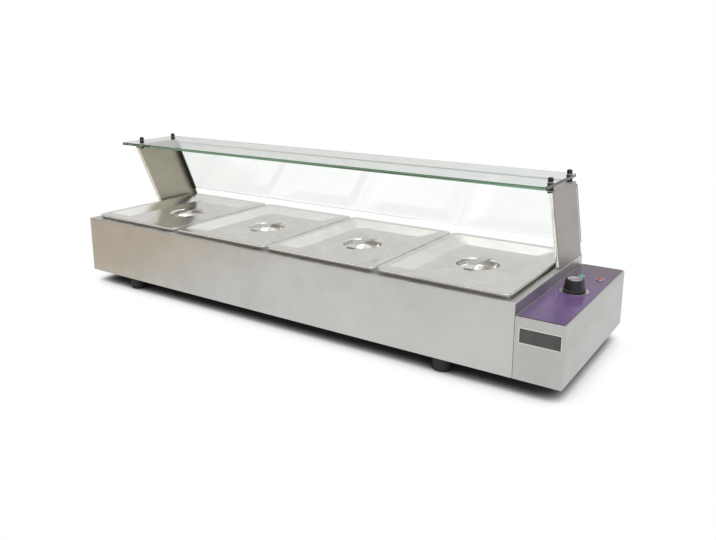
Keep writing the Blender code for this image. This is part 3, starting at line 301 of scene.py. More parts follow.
class Nodes:
    """Adds and joins the nodes of one tree, which starts empty but for its output."""

    def __init__(self, tree, output):
        self.tree = tree
        self.tree.nodes.clear()
        self.output = self.add(output)

    def add(self, kind, values=None, **settings):
        made = self.tree.nodes.new(kind)
        for key, value in settings.items():
            setattr(made, key, value)
        for key, value in (values or {}).items():
            made.inputs[key].default_value = value
        return made

    def join(self, source, target):
        self.tree.links.new(source, target)

    def maths(self, operation, first, second):
        made = self.add("ShaderNodeMath", operation=operation)
        for index, value in enumerate((first, second)):
            if isinstance(value, (int, float)):
                made.inputs[index].default_value = value
            else:
                self.join(value, made.inputs[index])
        return made.outputs["Value"]

    def blend(self, share, first, second, mode="MIX"):
        """Two colours mixed by a share."""
        mix = self.add("ShaderNodeMix", data_type="RGBA", blend_type=mode)
        for socket, value in zip((mix.inputs[0], mix.inputs[6], mix.inputs[7]), (share, first, second)):
            if isinstance(value, (int, float, tuple)):
                socket.default_value = value
            else:
                self.join(value, socket)
        return mix.outputs[2]

    def mixed(self, share, first, second):
        """Two shaders mixed by a share."""
        made = self.add("ShaderNodeMixShader")
        self.join(share, made.inputs[0])
        self.join(first, made.inputs[1])
        self.join(second, made.inputs[2])
        return made.outputs["Shader"]


class Finish(Nodes):
    """Builds the nodes of one material of the object."""

    def __init__(self, name):
        self.material = bpy.data.materials.new(f"{name}_look")
        self.material.use_nodes = True
        super().__init__(self.material.node_tree, "ShaderNodeOutputMaterial")
        self.shader = self.add("ShaderNodeBsdfPrincipled")
        self.join(self.shader.outputs["BSDF"], self.output.inputs["Surface"])
        self.coordinates = self.add("ShaderNodeTexCoord").outputs["Object"]

    def set(self, **values):
        for key, value in values.items():
            self.shader.inputs[key.replace("_", " ")].default_value = value

    def noise(self, sizes, detail, roughness=NOISE_ROUGHNESS, distortion=0.0):
        """Noise whose spots have the given sizes along X, Y and Z."""
        mapping = self.add("ShaderNodeMapping", {"Scale": [1.0 / size for size in sizes]})
        self.join(self.coordinates, mapping.inputs["Vector"])
        noise = self.add(
            "ShaderNodeTexNoise",
            {"Scale": 1.0, "Detail": detail, "Roughness": roughness, "Distortion": distortion},
        )
        self.join(mapping.outputs["Vector"], noise.inputs["Vector"])
        return noise.outputs["Fac"]

    def even_noise(self, size, kind):
        """Noise whose spots have one size in all directions."""
        return self.noise((size, size, size), **kind)

    def spread(self, source, low, high, source_range=NOISE_RANGE):
        """The source brought from its own range into another."""
        source_low, source_high = source_range
        ranged = self.add(
            "ShaderNodeMapRange",
            {"From Min": source_low, "From Max": source_high, "To Min": low, "To Max": high},
        )
        self.join(source, ranged.inputs["Value"])
        return ranged.outputs["Result"]

    def colour(self, source):
        self.join(source, self.shader.inputs["Base Color"])

    def rough(self, source):
        self.join(source, self.shader.inputs["Roughness"])

    def swayed_rough(self, patches, least, most, grain, sway):
        """Roughness that runs from least to most over the patches and sways with the grain."""
        even = self.spread(patches, least, most)
        self.rough(self.maths("ADD", even, self.spread(grain, -sway, sway)))

    def bump(self, source, height, strength, after=None):
        bump = self.add("ShaderNodeBump", {"Distance": height, "Strength": strength})
        self.join(source, bump.inputs["Height"])
        if after is not None:
            self.join(after, bump.inputs["Normal"])
        self.join(bump.outputs["Normal"], self.shader.inputs["Normal"])
        return bump.outputs["Normal"]


def streak_sizes(along, length, width):
    """Noise sizes for streaks that run along one axis."""
    return [length if axis == along else width for axis in range(3)]


def brushed_metal(
    name, light, dark, smooth, rough, along, grain_height=BRUSH_HEIGHT, anisotropy=BRUSHED_ANISOTROPY
):
    """Metal sheet with a fine grain, faint clouds, wipe marks and hairline scratches."""
    finish = Finish(name)
    finish.set(Metallic=1.0, Anisotropic=anisotropy)
    grain = finish.noise(streak_sizes(along, GRAIN_LENGTH, GRAIN_WIDTH), **GRAIN_NOISE)
    cloud = finish.even_noise(CLOUD_SIZE, SOFT_NOISE)
    smear = finish.noise((SMEAR_SIZE, SMEAR_SIZE * SMEAR_STRETCH, SMEAR_SIZE), **SMEAR_NOISE)
    scratch = finish.noise(streak_sizes(along, SCRATCH_LENGTH, SCRATCH_WIDTH), **SCRATCH_NOISE)
    tone = finish.maths("ADD", finish.spread(grain, 0.0, 0.5), finish.spread(cloud, 0.0, 0.5))
    finish.colour(finish.blend(tone, linear(*dark), linear(*light)))
    finish.swayed_rough(smear, smooth, rough, grain, BRUSH_SWAY)
    brushed = finish.bump(grain, grain_height, BRUSH_STRENGTH)
    scratches = finish.spread(scratch, 0.0, 1.0, SCRATCH_RANGE)
    finish.bump(scratches, grain_height, BRUSH_STRENGTH, brushed)
    return finish.material


def polished_metal(name, light, dark, smooth, rough):
    """Bright pressed metal with soft clouds and faint wipe marks."""
    finish = Finish(name)
    finish.set(Metallic=1.0)
    cloud = finish.even_noise(SMEAR_SIZE, SPOT_NOISE)
    grain = finish.even_noise(GRAIN_WIDTH, SOFT_NOISE)
    wave = finish.even_noise(PRESS_WAVE, WAVE_NOISE)
    finish.colour(finish.blend(finish.spread(cloud, 0.0, 1.0), linear(*dark), linear(*light)))
    finish.swayed_rough(cloud, smooth, rough, grain, POLISH_SWAY)
    grained = finish.bump(grain, FINE_BRUSH_HEIGHT, POLISH_STRENGTH)
    finish.bump(wave, PRESS_WAVE_HEIGHT, PRESS_WAVE_STRENGTH, grained)
    return finish.material


def moulded(name, light, dark, smooth, rough):
    """Plastic or rubber with a fine moulded grain and dull rubbed places."""
    finish = Finish(name)
    fine = finish.even_noise(MOULD_GRAIN, SOFT_NOISE)
    rub = finish.even_noise(SMEAR_SIZE, RUB_NOISE)
    finish.colour(finish.blend(finish.spread(rub, 0.0, 1.0), linear(*dark), linear(*light)))
    finish.swayed_rough(rub, smooth, rough, fine, MOULD_SWAY)
    finish.bump(fine, MOULD_HEIGHT, MOULD_STRENGTH)
    return finish.material


def clear_glass():
    """Glass that takes colour through its thickness and lets the lamps through."""
    finish = Finish("clear_glass")
    finish.set(Transmission_Weight=1.0, IOR=GLASS_IOR, Base_Color=WHITE)
    smear = finish.even_noise(SMEAR_SIZE, SPOT_NOISE)
    finish.rough(finish.spread(smear, *GLASS_ROUGHNESS))
    clear = finish.add("ShaderNodeBsdfTransparent")
    path = finish.add("ShaderNodeLightPath")
    seen = finish.mixed(path.outputs["Is Shadow Ray"], finish.shader.outputs["BSDF"], clear.outputs["BSDF"])
    finish.join(seen, finish.output.inputs["Surface"])
    depth = {"Color": GLASS_DEPTH_TINT, "Density": GLASS_DEPTH_DENSITY}
    volume = finish.add("ShaderNodeVolumeAbsorption", depth)
    finish.join(volume.outputs["Volume"], finish.output.inputs["Volume"])
    return finish.material


def lens(name, light, dark, glow):
    """An indicator's coloured lens, a little cloudy inside."""
    finish = Finish(name)
    finish.set(Transmission_Weight=LENS_CLEARNESS, IOR=LENS_IOR)
    finish.set(Coat_Weight=LENS_COAT, Coat_Roughness=LENS_COAT_ROUGHNESS)
    finish.set(Emission_Color=linear(*light), Emission_Strength=glow)
    cloud = finish.even_noise(LENS_CLOUD, SOFT_NOISE)
    finish.colour(finish.blend(finish.spread(cloud, 0.0, 1.0), linear(*dark), linear(*light)))
    finish.rough(finish.spread(cloud, *LENS_ROUGHNESS))
    return finish.material


def overlay_film(low, high):
    """Printed violet film, which warms towards the rear by a painted reflection."""
    finish = Finish("overlay_film")
    finish.set(IOR=FILM_IOR)
    place = finish.add("ShaderNodeSeparateXYZ")
    finish.join(finish.coordinates, place.inputs["Vector"])
    share = finish.spread(place.outputs["Y"], 0.0, 1.0, (low, high))
    # The ramp from the front tone to the rear one is painted reflection laid over the film's own violet.
    near, middle, rear = (linear(*tone) for tone in FILM_TONES_WITH_PAINTED_REFLECTION)
    ramp = finish.add("ShaderNodeValToRGB")
    ramp.color_ramp.elements[0].color = near
    ramp.color_ramp.elements[1].color = rear
    ramp.color_ramp.elements.new(FILM_MIDDLE_SHARE).color = middle
    finish.join(share, ramp.inputs["Fac"])
    cloud = finish.even_noise(SMEAR_SIZE, RUB_NOISE)
    fine = finish.even_noise(FILM_GRAIN, FILM_NOISE)
    worn = finish.blend(finish.spread(cloud, 0.0, 1.0), FILM_WEAR, WHITE)
    finish.colour(finish.blend(1.0, ramp.outputs["Color"], worn, "MULTIPLY"))
    finish.swayed_rough(cloud, *FILM_ROUGHNESS, fine, FILM_SWAY)
    finish.bump(fine, FILM_HEIGHT, FILM_STRENGTH)
    return finish.material


def make_materials():
    film_low, film_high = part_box("control_overlay")
    looks = {}
    for make, kinds in (
        (brushed_metal, BRUSHED_METALS),
        (polished_metal, POLISHED_METALS),
        (moulded, MOULDED_LOOKS),
        (lens, LENSES),
    ):
        for name, values in kinds.items():
            looks[name] = make(name, *values)
    looks["dial"] = brushed_metal("dial", *DIAL_METAL, FINE_BRUSH_HEIGHT, DIAL_ANISOTROPY)
    looks["overlay_film"] = overlay_film(film_low.y, film_high.y)
    looks["clear_glass"] = clear_glass()
    return looks


NODE_LOOKS = {
    "outer_casing": "casing_steel", "bottom_plate": "casing_steel", "control_box": "box_steel",
    "left_bracket": "left_upright_painted_reflection", "right_bracket": "right_upright_painted_shade",
    "divider_bar_1": "side_steel", "divider_bar_2": "side_steel", "divider_bar_3": "side_steel",
    "water_tank": "tank_steel", "tank_floor": "tank_steel",
    "element_plate": "element_steel", "heating_element": "element_steel",
    "control_overlay": "overlay_film", "thermostat": "black_plastic", "thermostat_knob": "black_plastic",
    "thermostat_spindle": "spindle", "thermostat_dial": "dial",
    "green_lamp": "green_lens", "red_lamp": "red_lens", "cable_gland": "black_plastic",
    "drain_tap": "tap_chrome", "drain_nut": "tap_chrome", "drain_lever": "handle_steel",
    # The pane trims are black rubber, and their dark strip also stands in for the shade along each pane's
    # side edge, so it is partly painted shade.
    "left_pane_trim": "black_rubber", "right_pane_trim": "black_rubber",
    "left_front_clamp": "black_rubber", "left_rear_clamp": "black_rubber",
    "right_front_clamp": "black_rubber", "right_rear_clamp": "black_rubber",
    "foot_front_left": "black_rubber", "foot_front_right": "black_rubber",
    "foot_rear_left": "black_rubber", "foot_rear_right": "black_rubber",
    "top_glass": "clear_glass", "rear_glass": "clear_glass",
}
for number in range(1, PAN_COUNT + 1):
    NODE_LOOKS[f"gn_pan_{number}"] = "pan_steel"
    NODE_LOOKS[f"lid_{number}"] = "lid_steel"
    NODE_LOOKS[f"lid_handle_{number}"] = "handle_steel"


def smoothing_group():
    """Geometry nodes that drop packed normals and shade smooth up to an angle."""
    group = bpy.data.node_groups.new("smooth_up_to_an_angle", "GeometryNodeTree")
    group.interface.new_socket("Geometry", in_out="INPUT", socket_type="NodeSocketGeometry")
    group.interface.new_socket("Geometry", in_out="OUTPUT", socket_type="NodeSocketGeometry")
    start = group.nodes.new("NodeGroupInput")
    end = group.nodes.new("NodeGroupOutput")
    drop = group.nodes.new("GeometryNodeRemoveAttribute")
    drop.inputs["Name"].default_value = "custom_normal"
    faces = group.nodes.new("GeometryNodeSetShadeSmooth")
    faces.inputs["Shade Smooth"].default_value = True
    edges = group.nodes.new("GeometryNodeSetShadeSmooth")
    edges.domain = "EDGE"
    angle = group.nodes.new("GeometryNodeInputMeshEdgeAngle")
    below = group.nodes.new("FunctionNodeCompare")
    below.data_type = "FLOAT"
    below.operation = "LESS_THAN"
    below.inputs["B"].default_value = SMOOTH_ANGLE
    group.links.new(start.outputs[0], drop.inputs["Geometry"])
    group.links.new(drop.outputs["Geometry"], faces.inputs["Geometry"])
    group.links.new(faces.outputs["Geometry"], edges.inputs["Geometry"])
    group.links.new(angle.outputs["Unsigned Angle"], below.inputs["A"])
    group.links.new(below.outputs["Result"], edges.inputs["Shade Smooth"])
    group.links.new(edges.outputs["Geometry"], end.inputs[0])
    return group


def smooth_node(node, group, round_size):
    """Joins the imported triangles, rounds the hard edges and shades the rest smooth."""
    weld = node.modifiers.new("weld", "WELD")
    weld.merge_threshold = WELD_REACH
    merge = node.modifiers.new("flat", "DECIMATE")
    merge.decimate_type = "DISSOLVE"
    merge.angle_limit = FLAT_ANGLE
    bevel = node.modifiers.new("round", "BEVEL")
    bevel.width = round_size
    bevel.segments = EDGE_STEPS
    bevel.limit_method = "ANGLE"
    bevel.angle_limit = SMOOTH_ANGLE
    bevel.use_clamp_overlap = True
    shade = node.modifiers.new("shade", "NODES")
    shade.node_group = group
    weigh = node.modifiers.new("weigh", "WEIGHTED_NORMAL")
    weigh.keep_sharp = True


def dress_nodes(looks):
    group = smoothing_group()
    for name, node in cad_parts.items():
        look = NODE_LOOKS[name]
        for slot in node.material_slots:
            slot.material = looks[look]
        smooth_node(node, group, GLASS_EDGE_ROUND if look == "clear_glass" else EDGE_ROUND)


# Shapes for the pieces that the solids leave out

def facing(position, normal=(0.0, 0.0, 1.0), turn=0.0):
    """A place whose own Z runs along the normal."""
    swing = Vector(normal).to_track_quat("Z", "Y").to_matrix().to_4x4()
    return Matrix.Translation(Vector(position)) @ swing @ Matrix.Rotation(turn, 4, "Z")


def ring_loops(shape, place, rings, segments):
    """Loops of points about the place's Z, each given as a radius and a height."""
    loops = []
    for radius, height in rings:
        loop = []
        for index in range(segments):
            angle = 2.0 * math.pi * index / segments
            reach = radius(angle) if callable(radius) else radius
            point = Vector((reach * math.cos(angle), reach * math.sin(angle), height))
            loop.append(shape.verts.new(place @ point))
        loops.append(loop)
    return loops


def skin(shape, first, second):
    """Faces from one loop of points to the next."""
    for index in range(len(first)):
        after = (index + 1) % len(first)
        shape.faces.new((first[index], first[after], second[after], second[index]))


def close_body(shape, loops):
    """A closed body over the loops, with a face at each end."""
    for first, second in zip(loops, loops[1:]):
        skin(shape, first, second)
    shape.faces.new(list(reversed(loops[0])))
    shape.faces.new(loops[-1])


def add_turned(shape, place, rings, segments):
    """A closed body of rings about the place's Z."""
    close_body(shape, ring_loops(shape, place, rings, segments))


def add_ring(shape, place, rings, segments):
    """A closed ring whose section is a loop of radii and heights."""
    loops = ring_loops(shape, place, rings, segments)
    for first, second in zip(loops, loops[1:] + loops[:1]):
        skin(shape, first, second)


def add_block(shape, place, size, round_size):
    made = bmesh.ops.create_cube(shape, size=1.0, matrix=place @ Matrix.Diagonal((*size, 1.0)))
    edges = list({edge for vert in made["verts"] for edge in vert.link_edges})
    bmesh.ops.bevel(
        shape, geom=edges, offset=round_size, segments=EDGE_STEPS, profile=0.5, affect="EDGES"
    )


def add_plate(shape, place, length, height, corner, bottom, top, round_size):
    """A flat plate with rounded corners and a chamfer round its face."""
    def outline(inset, rise):
        loop = []
        for quarter in range(4):
            sign_x = 1.0 if quarter in (0, 3) else -1.0
            sign_y = 1.0 if quarter in (0, 1) else -1.0
            for step in range(BADGE_CORNER_STEPS + 1):
                angle = (quarter + step / BADGE_CORNER_STEPS) * math.pi / 2.0
                reach = corner - inset
                x = sign_x * (length / 2.0 - corner) + reach * math.cos(angle)
                y = sign_y * (height / 2.0 - corner) + reach * math.sin(angle)
                loop.append(shape.verts.new(place @ Vector((x, y, rise))))
        return loop
    close_body(shape, [outline(0.0, bottom), outline(0.0, top - round_size), outline(round_size, top)])


def add_screw(shape, position, normal, turn=0.0):
    """A low domed head with a cross recess."""
    rise = SCREW_RADIUS * SCREW_RISE_SHARE

    def cross(share):
        def reach(angle):
            arm = abs(math.cos(2.0 * angle)) ** SCREW_ARM_POWER
            return SCREW_RADIUS * share * (SCREW_ARM_SHARE + (1.0 - SCREW_ARM_SHARE) * arm)
        return reach

    rings = [(SCREW_RADIUS, -SEAT_SINK)]
    rings += [(SCREW_RADIUS * reach, rise * height) for reach, height in SCREW_RING_SHARES]
    rings.append((cross(SCREW_RECESS_SHARE), rise))
    rings.append((cross(SCREW_RECESS_FLOOR_SHARE), rise * SCREW_RECESS_FLOOR_RISE_SHARE))
    add_turned(shape, facing(position, normal, turn), rings, SCREW_SEGMENTS)


def add_words(shape, place, words, size, depth):
    curve = bpy.data.curves.new("words", "FONT")
    curve.body = words
    curve.size = size
    curve.extrude = depth
    curve.align_x = "CENTER"
    curve.align_y = "CENTER"
    item = bpy.data.objects.new("words", curve)
    bpy.context.scene.collection.objects.link(item)
    bpy.context.view_layer.update()
    flat = item.evaluated_get(bpy.context.evaluated_depsgraph_get())
    mesh = bpy.data.meshes.new_from_object(flat)
    mesh.transform(place)
    shape.from_mesh(mesh)
    bpy.data.objects.remove(item)
    bpy.data.meshes.remove(mesh)
    bpy.data.curves.remove(curve)


def make_piece(name, shape, look, body):
    bmesh.ops.recalc_face_normals(shape, faces=shape.faces[:])
    mesh = bpy.data.meshes.new(name)
    shape.to_mesh(mesh)
    shape.free()
    mesh.materials.append(look)
    mesh.shade_smooth()
    mesh.set_sharp_from_angle(angle=SMOOTH_ANGLE)
    item = bpy.data.objects.new(name, mesh)
    bpy.context.scene.collection.objects.link(item)
    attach(item, body)


def centre_of(node):
    low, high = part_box(node)
    return (low + high) / 2.0


def between(low, high, share):
    return low + (high - low) * share


def dial_way(angle):
    """The way outwards on the dial at an angle, and the turn of what points along it."""
    outward = Vector((math.cos(angle), math.sin(angle), 0.0))
    return outward, Matrix.Rotation(angle - math.pi / 2.0, 4, "Z")


# The pieces

def bracket_side(node):
    """A bracket's outer X, the way inwards and its box."""
    low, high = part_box(node)
    inward = 1.0 if low.x < 0.0 else -1.0
    outer = low.x if inward > 0.0 else high.x
    return outer, inward, low, high


def make_hems(looks):
    """The folded edge along the front of each bracket, in the brighter lid steel as a painted highlight."""
    shape = bmesh.new()
    for node in ("left_bracket", "right_bracket"):
        outer, inward, low, high = bracket_side(node)
        x = outer + inward * (BRACKET_SHEET + HEM_WIDTH / 2.0 - SEAT_SINK)
        foot = Vector((x, high.y - BRACKET_DEPTH, low.z))
        head = Vector((x, low.y, high.z))
        along = (head - foot).normalized()
        across = Vector((1.0, 0.0, 0.0))
        back = along.cross(across)
        start = foot + along * HEM_START
        end = head - along * HEM_END
        middle = (start + end) / 2.0 + back * HEM_SHEET / 2.0
        turn = Matrix((across, back, along)).transposed().to_4x4()
        size = (HEM_WIDTH, HEM_SHEET, (end - start).length)
        add_block(shape, Matrix.Translation(middle) @ turn, size, HEM_ROUND)
    # The hems take the brighter lid steel rather than the brackets' own: a painted highlight along their
    # front edges.
    make_piece("bracket_hems", shape, looks["lid_steel"], "base")


def make_base_screws(looks):
    """Screws under the casing, through the brackets' feet and behind the control box."""
    shape = bmesh.new()
    low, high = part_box("outer_casing")
    down = (0.0, 0.0, -1.0)
    for index, share in enumerate(BASE_SCREW_SHARES):
        x = between(low.x, high.x, share)
        for y in (low.y + BOTTOM_RETURN / 2.0, high.y - BOTTOM_RETURN / 2.0):
            add_screw(shape, (x, y, low.z), down, BASE_SCREW_TURN * index)
    for index, share in enumerate(END_SCREW_SHARES):
        y = between(low.y, high.y, share)
        for x in (low.x + BOTTOM_RETURN / 2.0, high.x - BOTTOM_RETURN / 2.0):
            add_screw(shape, (x, y, low.z), down, END_SCREW_TURN + index)
    for node in ("left_bracket", "right_bracket"):
        outer, inward, bracket_low, bracket_high = bracket_side(node)
        x = outer + inward * (BRACKET_SHEET + BRACKET_FOOT_FLANGE) / 2.0
        for index, share in enumerate(BRACKET_SCREW_SHARES):
            place = (x, bracket_high.y - BRACKET_DEPTH * share, bracket_low.z + BRACKET_SHEET)
            add_screw(shape, place, (0.0, 0.0, 1.0), BRACKET_SCREW_TURN + index)
    box_low, box_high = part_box("control_box")
    for x in (box_low.x + BOX_SCREW_INSET, box_high.x - BOX_SCREW_INSET):
        for z in (box_low.z + BOX_SCREW_INSET, box_high.z - BOX_SCREW_INSET):
            add_screw(shape, (x, high.y, z), (0.0, 1.0, 0.0), x + z)
    make_piece("base_screws", shape, looks["spindle"], "base")


def make_badge(looks):
    """A bare plate with a bright rim where the front carries one."""
    low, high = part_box("control_box")
    centre = Vector((
        low.x + BADGE_FROM_LEFT + BADGE_LENGTH / 2.0,
        low.y,
        high.z - BADGE_FROM_TOP - BADGE_HEIGHT / 2.0,
    ))
    place = Matrix.Translation(centre) @ Matrix.Rotation(math.pi / 2.0, 4, "X")
    chamfer = BADGE_RIM_RISE / 2.0
    rim = bmesh.new()
    size = (BADGE_LENGTH, BADGE_HEIGHT, BADGE_CORNER)
    add_plate(rim, place, *size, -BADGE_BACK, BADGE_RIM_RISE, chamfer)
    make_piece("front_plate_rim", rim, looks["handle_steel"], "base")
    face = bmesh.new()
    size = (BADGE_LENGTH - 2.0 * BADGE_RIM, BADGE_HEIGHT - 2.0 * BADGE_RIM, BADGE_CORNER - BADGE_RIM)
    add_plate(face, place, *size, -BADGE_BACK / 2.0, BADGE_FACE_RISE, chamfer)
    make_piece("front_plate", face, looks["bare_plate"], "base")


def make_dial_marks(looks):
    """The dial's ticks and numbers."""
    low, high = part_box("thermostat_dial")
    centre = (low + high) / 2.0
    centre.z = high.z
    shape = bmesh.new()
    gaps = (len(DIAL_NUMBERS) - 1) * DIAL_TICK_STEPS
    tick_radius = DIAL_RADIUS - DIAL_TICK_INSET - DIAL_TICK_LENGTH / 2.0
    tick = (DIAL_TICK_WIDTH, DIAL_TICK_LENGTH, 2.0 * MARK_RISE)
    for index in range(gaps + 1):
        outward, turn = dial_way(DIAL_START - DIAL_TURN * index / gaps)
        place = Matrix.Translation(centre + outward * tick_radius) @ turn
        add_block(shape, place, tick, MARK_RISE / 2.0)
    for index, words in enumerate(DIAL_NUMBERS):
        outward, turn = dial_way(DIAL_START - DIAL_TURN * index / (len(DIAL_NUMBERS) - 1))
        place = Matrix.Translation(centre + outward * DIAL_NUMBER_RADIUS) @ turn
        add_words(shape, place, words, DIAL_NUMBER_SIZE, MARK_RISE)
    make_piece("dial_marks", shape, looks["dial_print"], "base")


def make_knob_cap(looks):
    """The knob's bright cap and its pointer line."""
    low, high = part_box("thermostat_knob")
    centre = (low + high) / 2.0
    centre.z = high.z - KNOB_CAP_SINK
    radius = KNOB_CAP_RADIUS - CAP_CLEARANCE
    top = KNOB_CAP_SINK + POINTER_RISE
    rings = [
        (radius, -SEAT_SINK),
        (radius, top - CAP_DISH),
        (radius - CAP_DISH, top),
        (radius - CAP_RIM_INSET, top),
        (radius - CAP_DISH_INSET, top - CAP_DISH),
        (CAP_DISH, top - CAP_DISH),
    ]
    cap = bmesh.new()
    add_turned(cap, Matrix.Translation(centre), rings, CAP_SEGMENTS)
    make_piece("knob_cap", cap, looks["dial"], "knob")
    outward, turn = dial_way(DIAL_START)
    pointer = bmesh.new()
    length = KNOB_TOP_RADIUS - CAP_DISH - POINTER_INNER
    middle = centre + outward * (POINTER_INNER + length / 2.0)
    middle.z = high.z
    size = (POINTER_WIDTH, length, 2.0 * POINTER_RISE)
    add_block(pointer, Matrix.Translation(middle) @ turn, size, POINTER_RISE / 2.0)
    make_piece("knob_pointer", pointer, looks["dial_print"], "knob")


def make_lamp_rings(looks):
    """A bright ring round each lamp's lens."""
    shape = bmesh.new()
    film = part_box("control_overlay")[1].z
    outer = LAMP_BEZEL_RADIUS + RING_COVER
    inner = LAMP_LENS_RADIUS + RING_COVER / 2.0
    top = LAMP_BEZEL_HEIGHT + RING_RISE
    section = [
        (outer, 0.0),
        (outer, top - RING_ROUND),
        (outer - RING_ROUND, top),
        (inner + RING_ROUND, top),
        (inner, top - RING_ROUND),
        (inner, 0.0),
    ]
    for node in ("green_lamp", "red_lamp"):
        centre = centre_of(node)
        centre.z = film
        add_ring(shape, Matrix.Translation(centre), section, RING_SEGMENTS)
    make_piece("lamp_rings", shape, looks["tap_chrome"], "base")


def make_strap_welds(looks):
    """Two spot welds at each foot of each lid's strap."""
    rings = [(WELD_RADIUS, -SEAT_SINK)]
    rings += [(WELD_RADIUS * reach, WELD_RISE * height) for reach, height in WELD_RING_SHARES]
    for number in range(1, PAN_COUNT + 1):
        low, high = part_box(f"lid_handle_{number}")
        middle = (low.x + high.x) / 2.0
        top = low.z + HANDLE_SHEET
        shape = bmesh.new()
        for y in (low.y + HANDLE_FOOT / 2.0, high.y - HANDLE_FOOT / 2.0):
            for x in (middle - WELD_ACROSS, middle + WELD_ACROSS):
                add_turned(shape, facing((x, y, top)), rings, WELD_SEGMENTS)
        make_piece(
            f"strap_welds_{number}", shape, looks["handle_steel"], f"cover_{number}"
        )


def make_lever_screw(looks):
    low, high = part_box("drain_lever")
    shape = bmesh.new()
    add_screw(shape, (low.x + LEVER_HUB_RADIUS, (low.y + high.y) / 2.0, high.z), (0.0, 0.0, 1.0))
    make_piece("lever_screw", shape, looks["spindle"], "tap_lever")


# The studio

def make_camera():
    data = bpy.data.cameras.new("camera")
    data.sensor_fit = "HORIZONTAL"
    data.sensor_width = SENSOR_WIDTH
    data.lens = FOCAL_PIXELS / IMAGE_WIDTH * SENSOR_WIDTH
    data.shift_y = (CENTRE_ROW - IMAGE_HEIGHT / 2) / IMAGE_WIDTH
    data.clip_start = CLIP_NEAR
    data.clip_end = CLIP_FAR
    camera = bpy.data.objects.new("camera", data)
    camera.location = CAMERA_PLACE
    camera.rotation_euler = (math.pi / 2 - CAMERA_PITCH, 0.0, CAMERA_YAW)
    bpy.context.scene.collection.objects.link(camera)
    bpy.context.scene.camera = camera


def make_lamp(name, place, size, power):
    data = bpy.data.lights.new(name, "AREA")
    data.shape = "SQUARE"
    data.size = size
    data.energy = power
    lamp = bpy.data.objects.new(name, data)
    lamp.location = place
    lamp.rotation_euler = (Vector(LAMP_AIM) - Vector(place)).to_track_quat("-Z", "Y").to_euler()
    bpy.context.scene.collection.objects.link(lamp)


class Studio(Nodes):
    """Builds the nodes of the world or the floor."""

    def __init__(self, tree, output):
        super().__init__(tree, output)
        self.path = self.add("ShaderNodeLightPath")

    def most(self, names):
        """One where a ray is of any of the named kinds."""
        total = self.path.outputs[names[0]]
        for name in names[1:]:
            total = self.maths("MAXIMUM", total, self.path.outputs[name])
        return total

    def straight(self):
        """One where the camera sees something by itself or through glass, and not in a gloss."""
        bounced = self.maths("LESS_THAN", self.path.outputs["Glossy Depth"], 0.5)
        return self.maths("MULTIPLY", self.most(["Is Camera Ray", "Is Transmission Ray"]), bounced)

    def ranged(self, source, source_range, target_range):
        """The source brought smoothly from one range into another."""
        ends = dict(zip(("From Min", "From Max", "To Min", "To Max"), (*source_range, *target_range)))
        made = self.add("ShaderNodeMapRange", ends, interpolation_type="SMOOTHSTEP")
        self.join(source, made.inputs["Value"])
        return made.outputs["Result"]


def make_world():
    """Even light, a white backdrop, and for gloss a room with a grey horizon and a dark side."""
    world = bpy.data.worlds.new("studio")
    world.use_nodes = True
    made = Studio(world.node_tree, "ShaderNodeOutputWorld")
    ambient = made.add("ShaderNodeBackground", {"Color": WHITE, "Strength": AMBIENT_LEVEL})
    white = made.add("ShaderNodeBackground", {"Color": WHITE, "Strength": 1.0})
    room = made.add("ShaderNodeBackground", {"Color": WHITE, "Strength": 1.0})
    direction = made.add("ShaderNodeTexCoord").outputs["Generated"]
    parts = made.add("ShaderNodeSeparateXYZ")
    made.join(direction, parts.inputs["Vector"])
    level = made.ranged(parts.outputs["Z"], HORIZON_RISE, (HORIZON_LEVEL, ZENITH_LEVEL))
    grey = made.add("ShaderNodeCombineXYZ")
    for axis in ("X", "Y", "Z"):
        made.join(level, grey.inputs[axis])
    dark_way = Vector(DARK_SIDE).normalized()
    toward = made.add("ShaderNodeVectorMath", {1: dark_way}, operation="DOT_PRODUCT")
    made.join(direction, toward.inputs[0])
    share = made.ranged(toward.outputs["Value"], DARK_SIDE_REACH, (0.0, DARK_SIDE_SHARE))
    made.join(made.blend(share, grey.outputs["Vector"], DARK_SIDE_COLOUR), room.inputs["Color"])
    gloss = made.most(["Is Glossy Ray", "Is Transmission Ray"])
    glossy = made.mixed(gloss, ambient.outputs[0], room.outputs[0])
    seen = made.mixed(made.straight(), glossy, white.outputs[0])
    made.join(seen, made.output.inputs["Surface"])
    bpy.context.scene.world = world


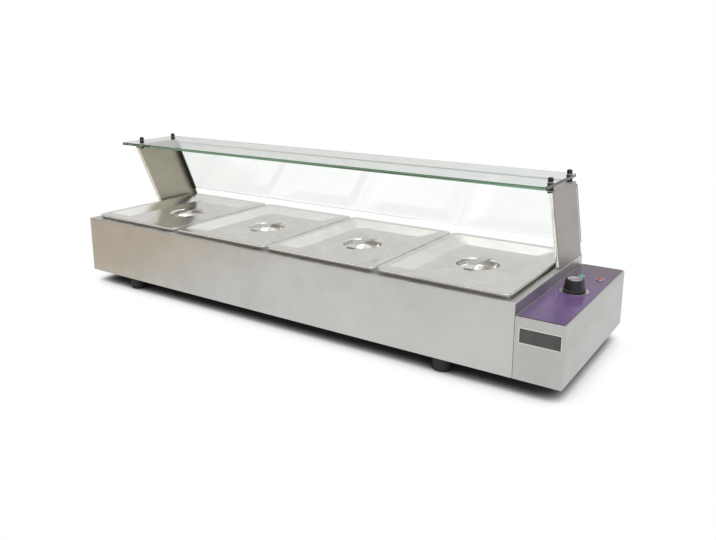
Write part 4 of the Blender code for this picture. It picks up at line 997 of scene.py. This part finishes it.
def make_floor():
    """A plain floor, white where it lies open and shaded where the counter stands over it."""
    mesh = bpy.data.meshes.new("floor")
    signs = ((-1.0, -1.0), (1.0, -1.0), (1.0, 1.0), (-1.0, 1.0))
    corners = [(x * FLOOR_HALF, y * FLOOR_HALF, -FLOOR_DROP) for x, y in signs]
    mesh.from_pydata(corners, [], [(0, 1, 2, 3)])
    floor = bpy.data.objects.new("floor", mesh)
    bpy.context.scene.collection.objects.link(floor)
    material = bpy.data.materials.new("floor_look")
    material.use_nodes = True
    made = Studio(material.node_tree, "ShaderNodeOutputMaterial")
    matte = made.add("ShaderNodeBsdfDiffuse", {"Color": (*FLOOR_COLOUR, 1.0)})
    shaded = made.add("ShaderNodeBsdfDiffuse", {"Color": (*FLOOR_SHADE_COLOUR, 1.0)})
    white = made.add("ShaderNodeEmission", {"Strength": 1.0})
    room = made.add("ShaderNodeEmission", {"Strength": 1.0})
    parts = made.add("ShaderNodeSeparateXYZ")
    made.join(made.add("ShaderNodeTexCoord").outputs["Object"], parts.inputs["Vector"])
    warmth = made.ranged(parts.outputs["X"], FLOOR_WARM_RANGE, (0.0, 1.0))
    made.join(made.blend(warmth, WHITE, FLOOR_WARM_COLOUR), room.inputs["Color"])
    open_floor = made.mixed(made.straight(), room.outputs[0], white.outputs[0])
    openness = made.add("ShaderNodeAmbientOcclusion", {"Distance": FLOOR_SHADE_REACH})
    openness.samples = FLOOR_SHADE_SAMPLES
    open_range = (FLOOR_DARK_OPENNESS, FLOOR_WHITE_OPENNESS)
    share = made.ranged(openness.outputs["AO"], open_range, (0.0, 1.0))
    shown = made.mixed(share, shaded.outputs[0], open_floor)
    seen = made.most(["Is Camera Ray", "Is Glossy Ray", "Is Transmission Ray"])
    made.join(made.mixed(seen, matte.outputs[0], shown), made.output.inputs["Surface"])
    mesh.materials.append(material)


make_camera()
bpy.context.scene.view_settings.view_transform = "Standard"
make_world()
make_floor()
for lamp_name, lamp_values in LAMPS.items():
    make_lamp(lamp_name, *lamp_values)
LOOKS = make_materials()
dress_nodes(LOOKS)
make_hems(LOOKS)
make_base_screws(LOOKS)
make_badge(LOOKS)
make_dial_marks(LOOKS)
make_knob_cap(LOOKS)
make_lamp_rings(LOOKS)
make_strap_welds(LOOKS)
make_lever_screw(LOOKS)
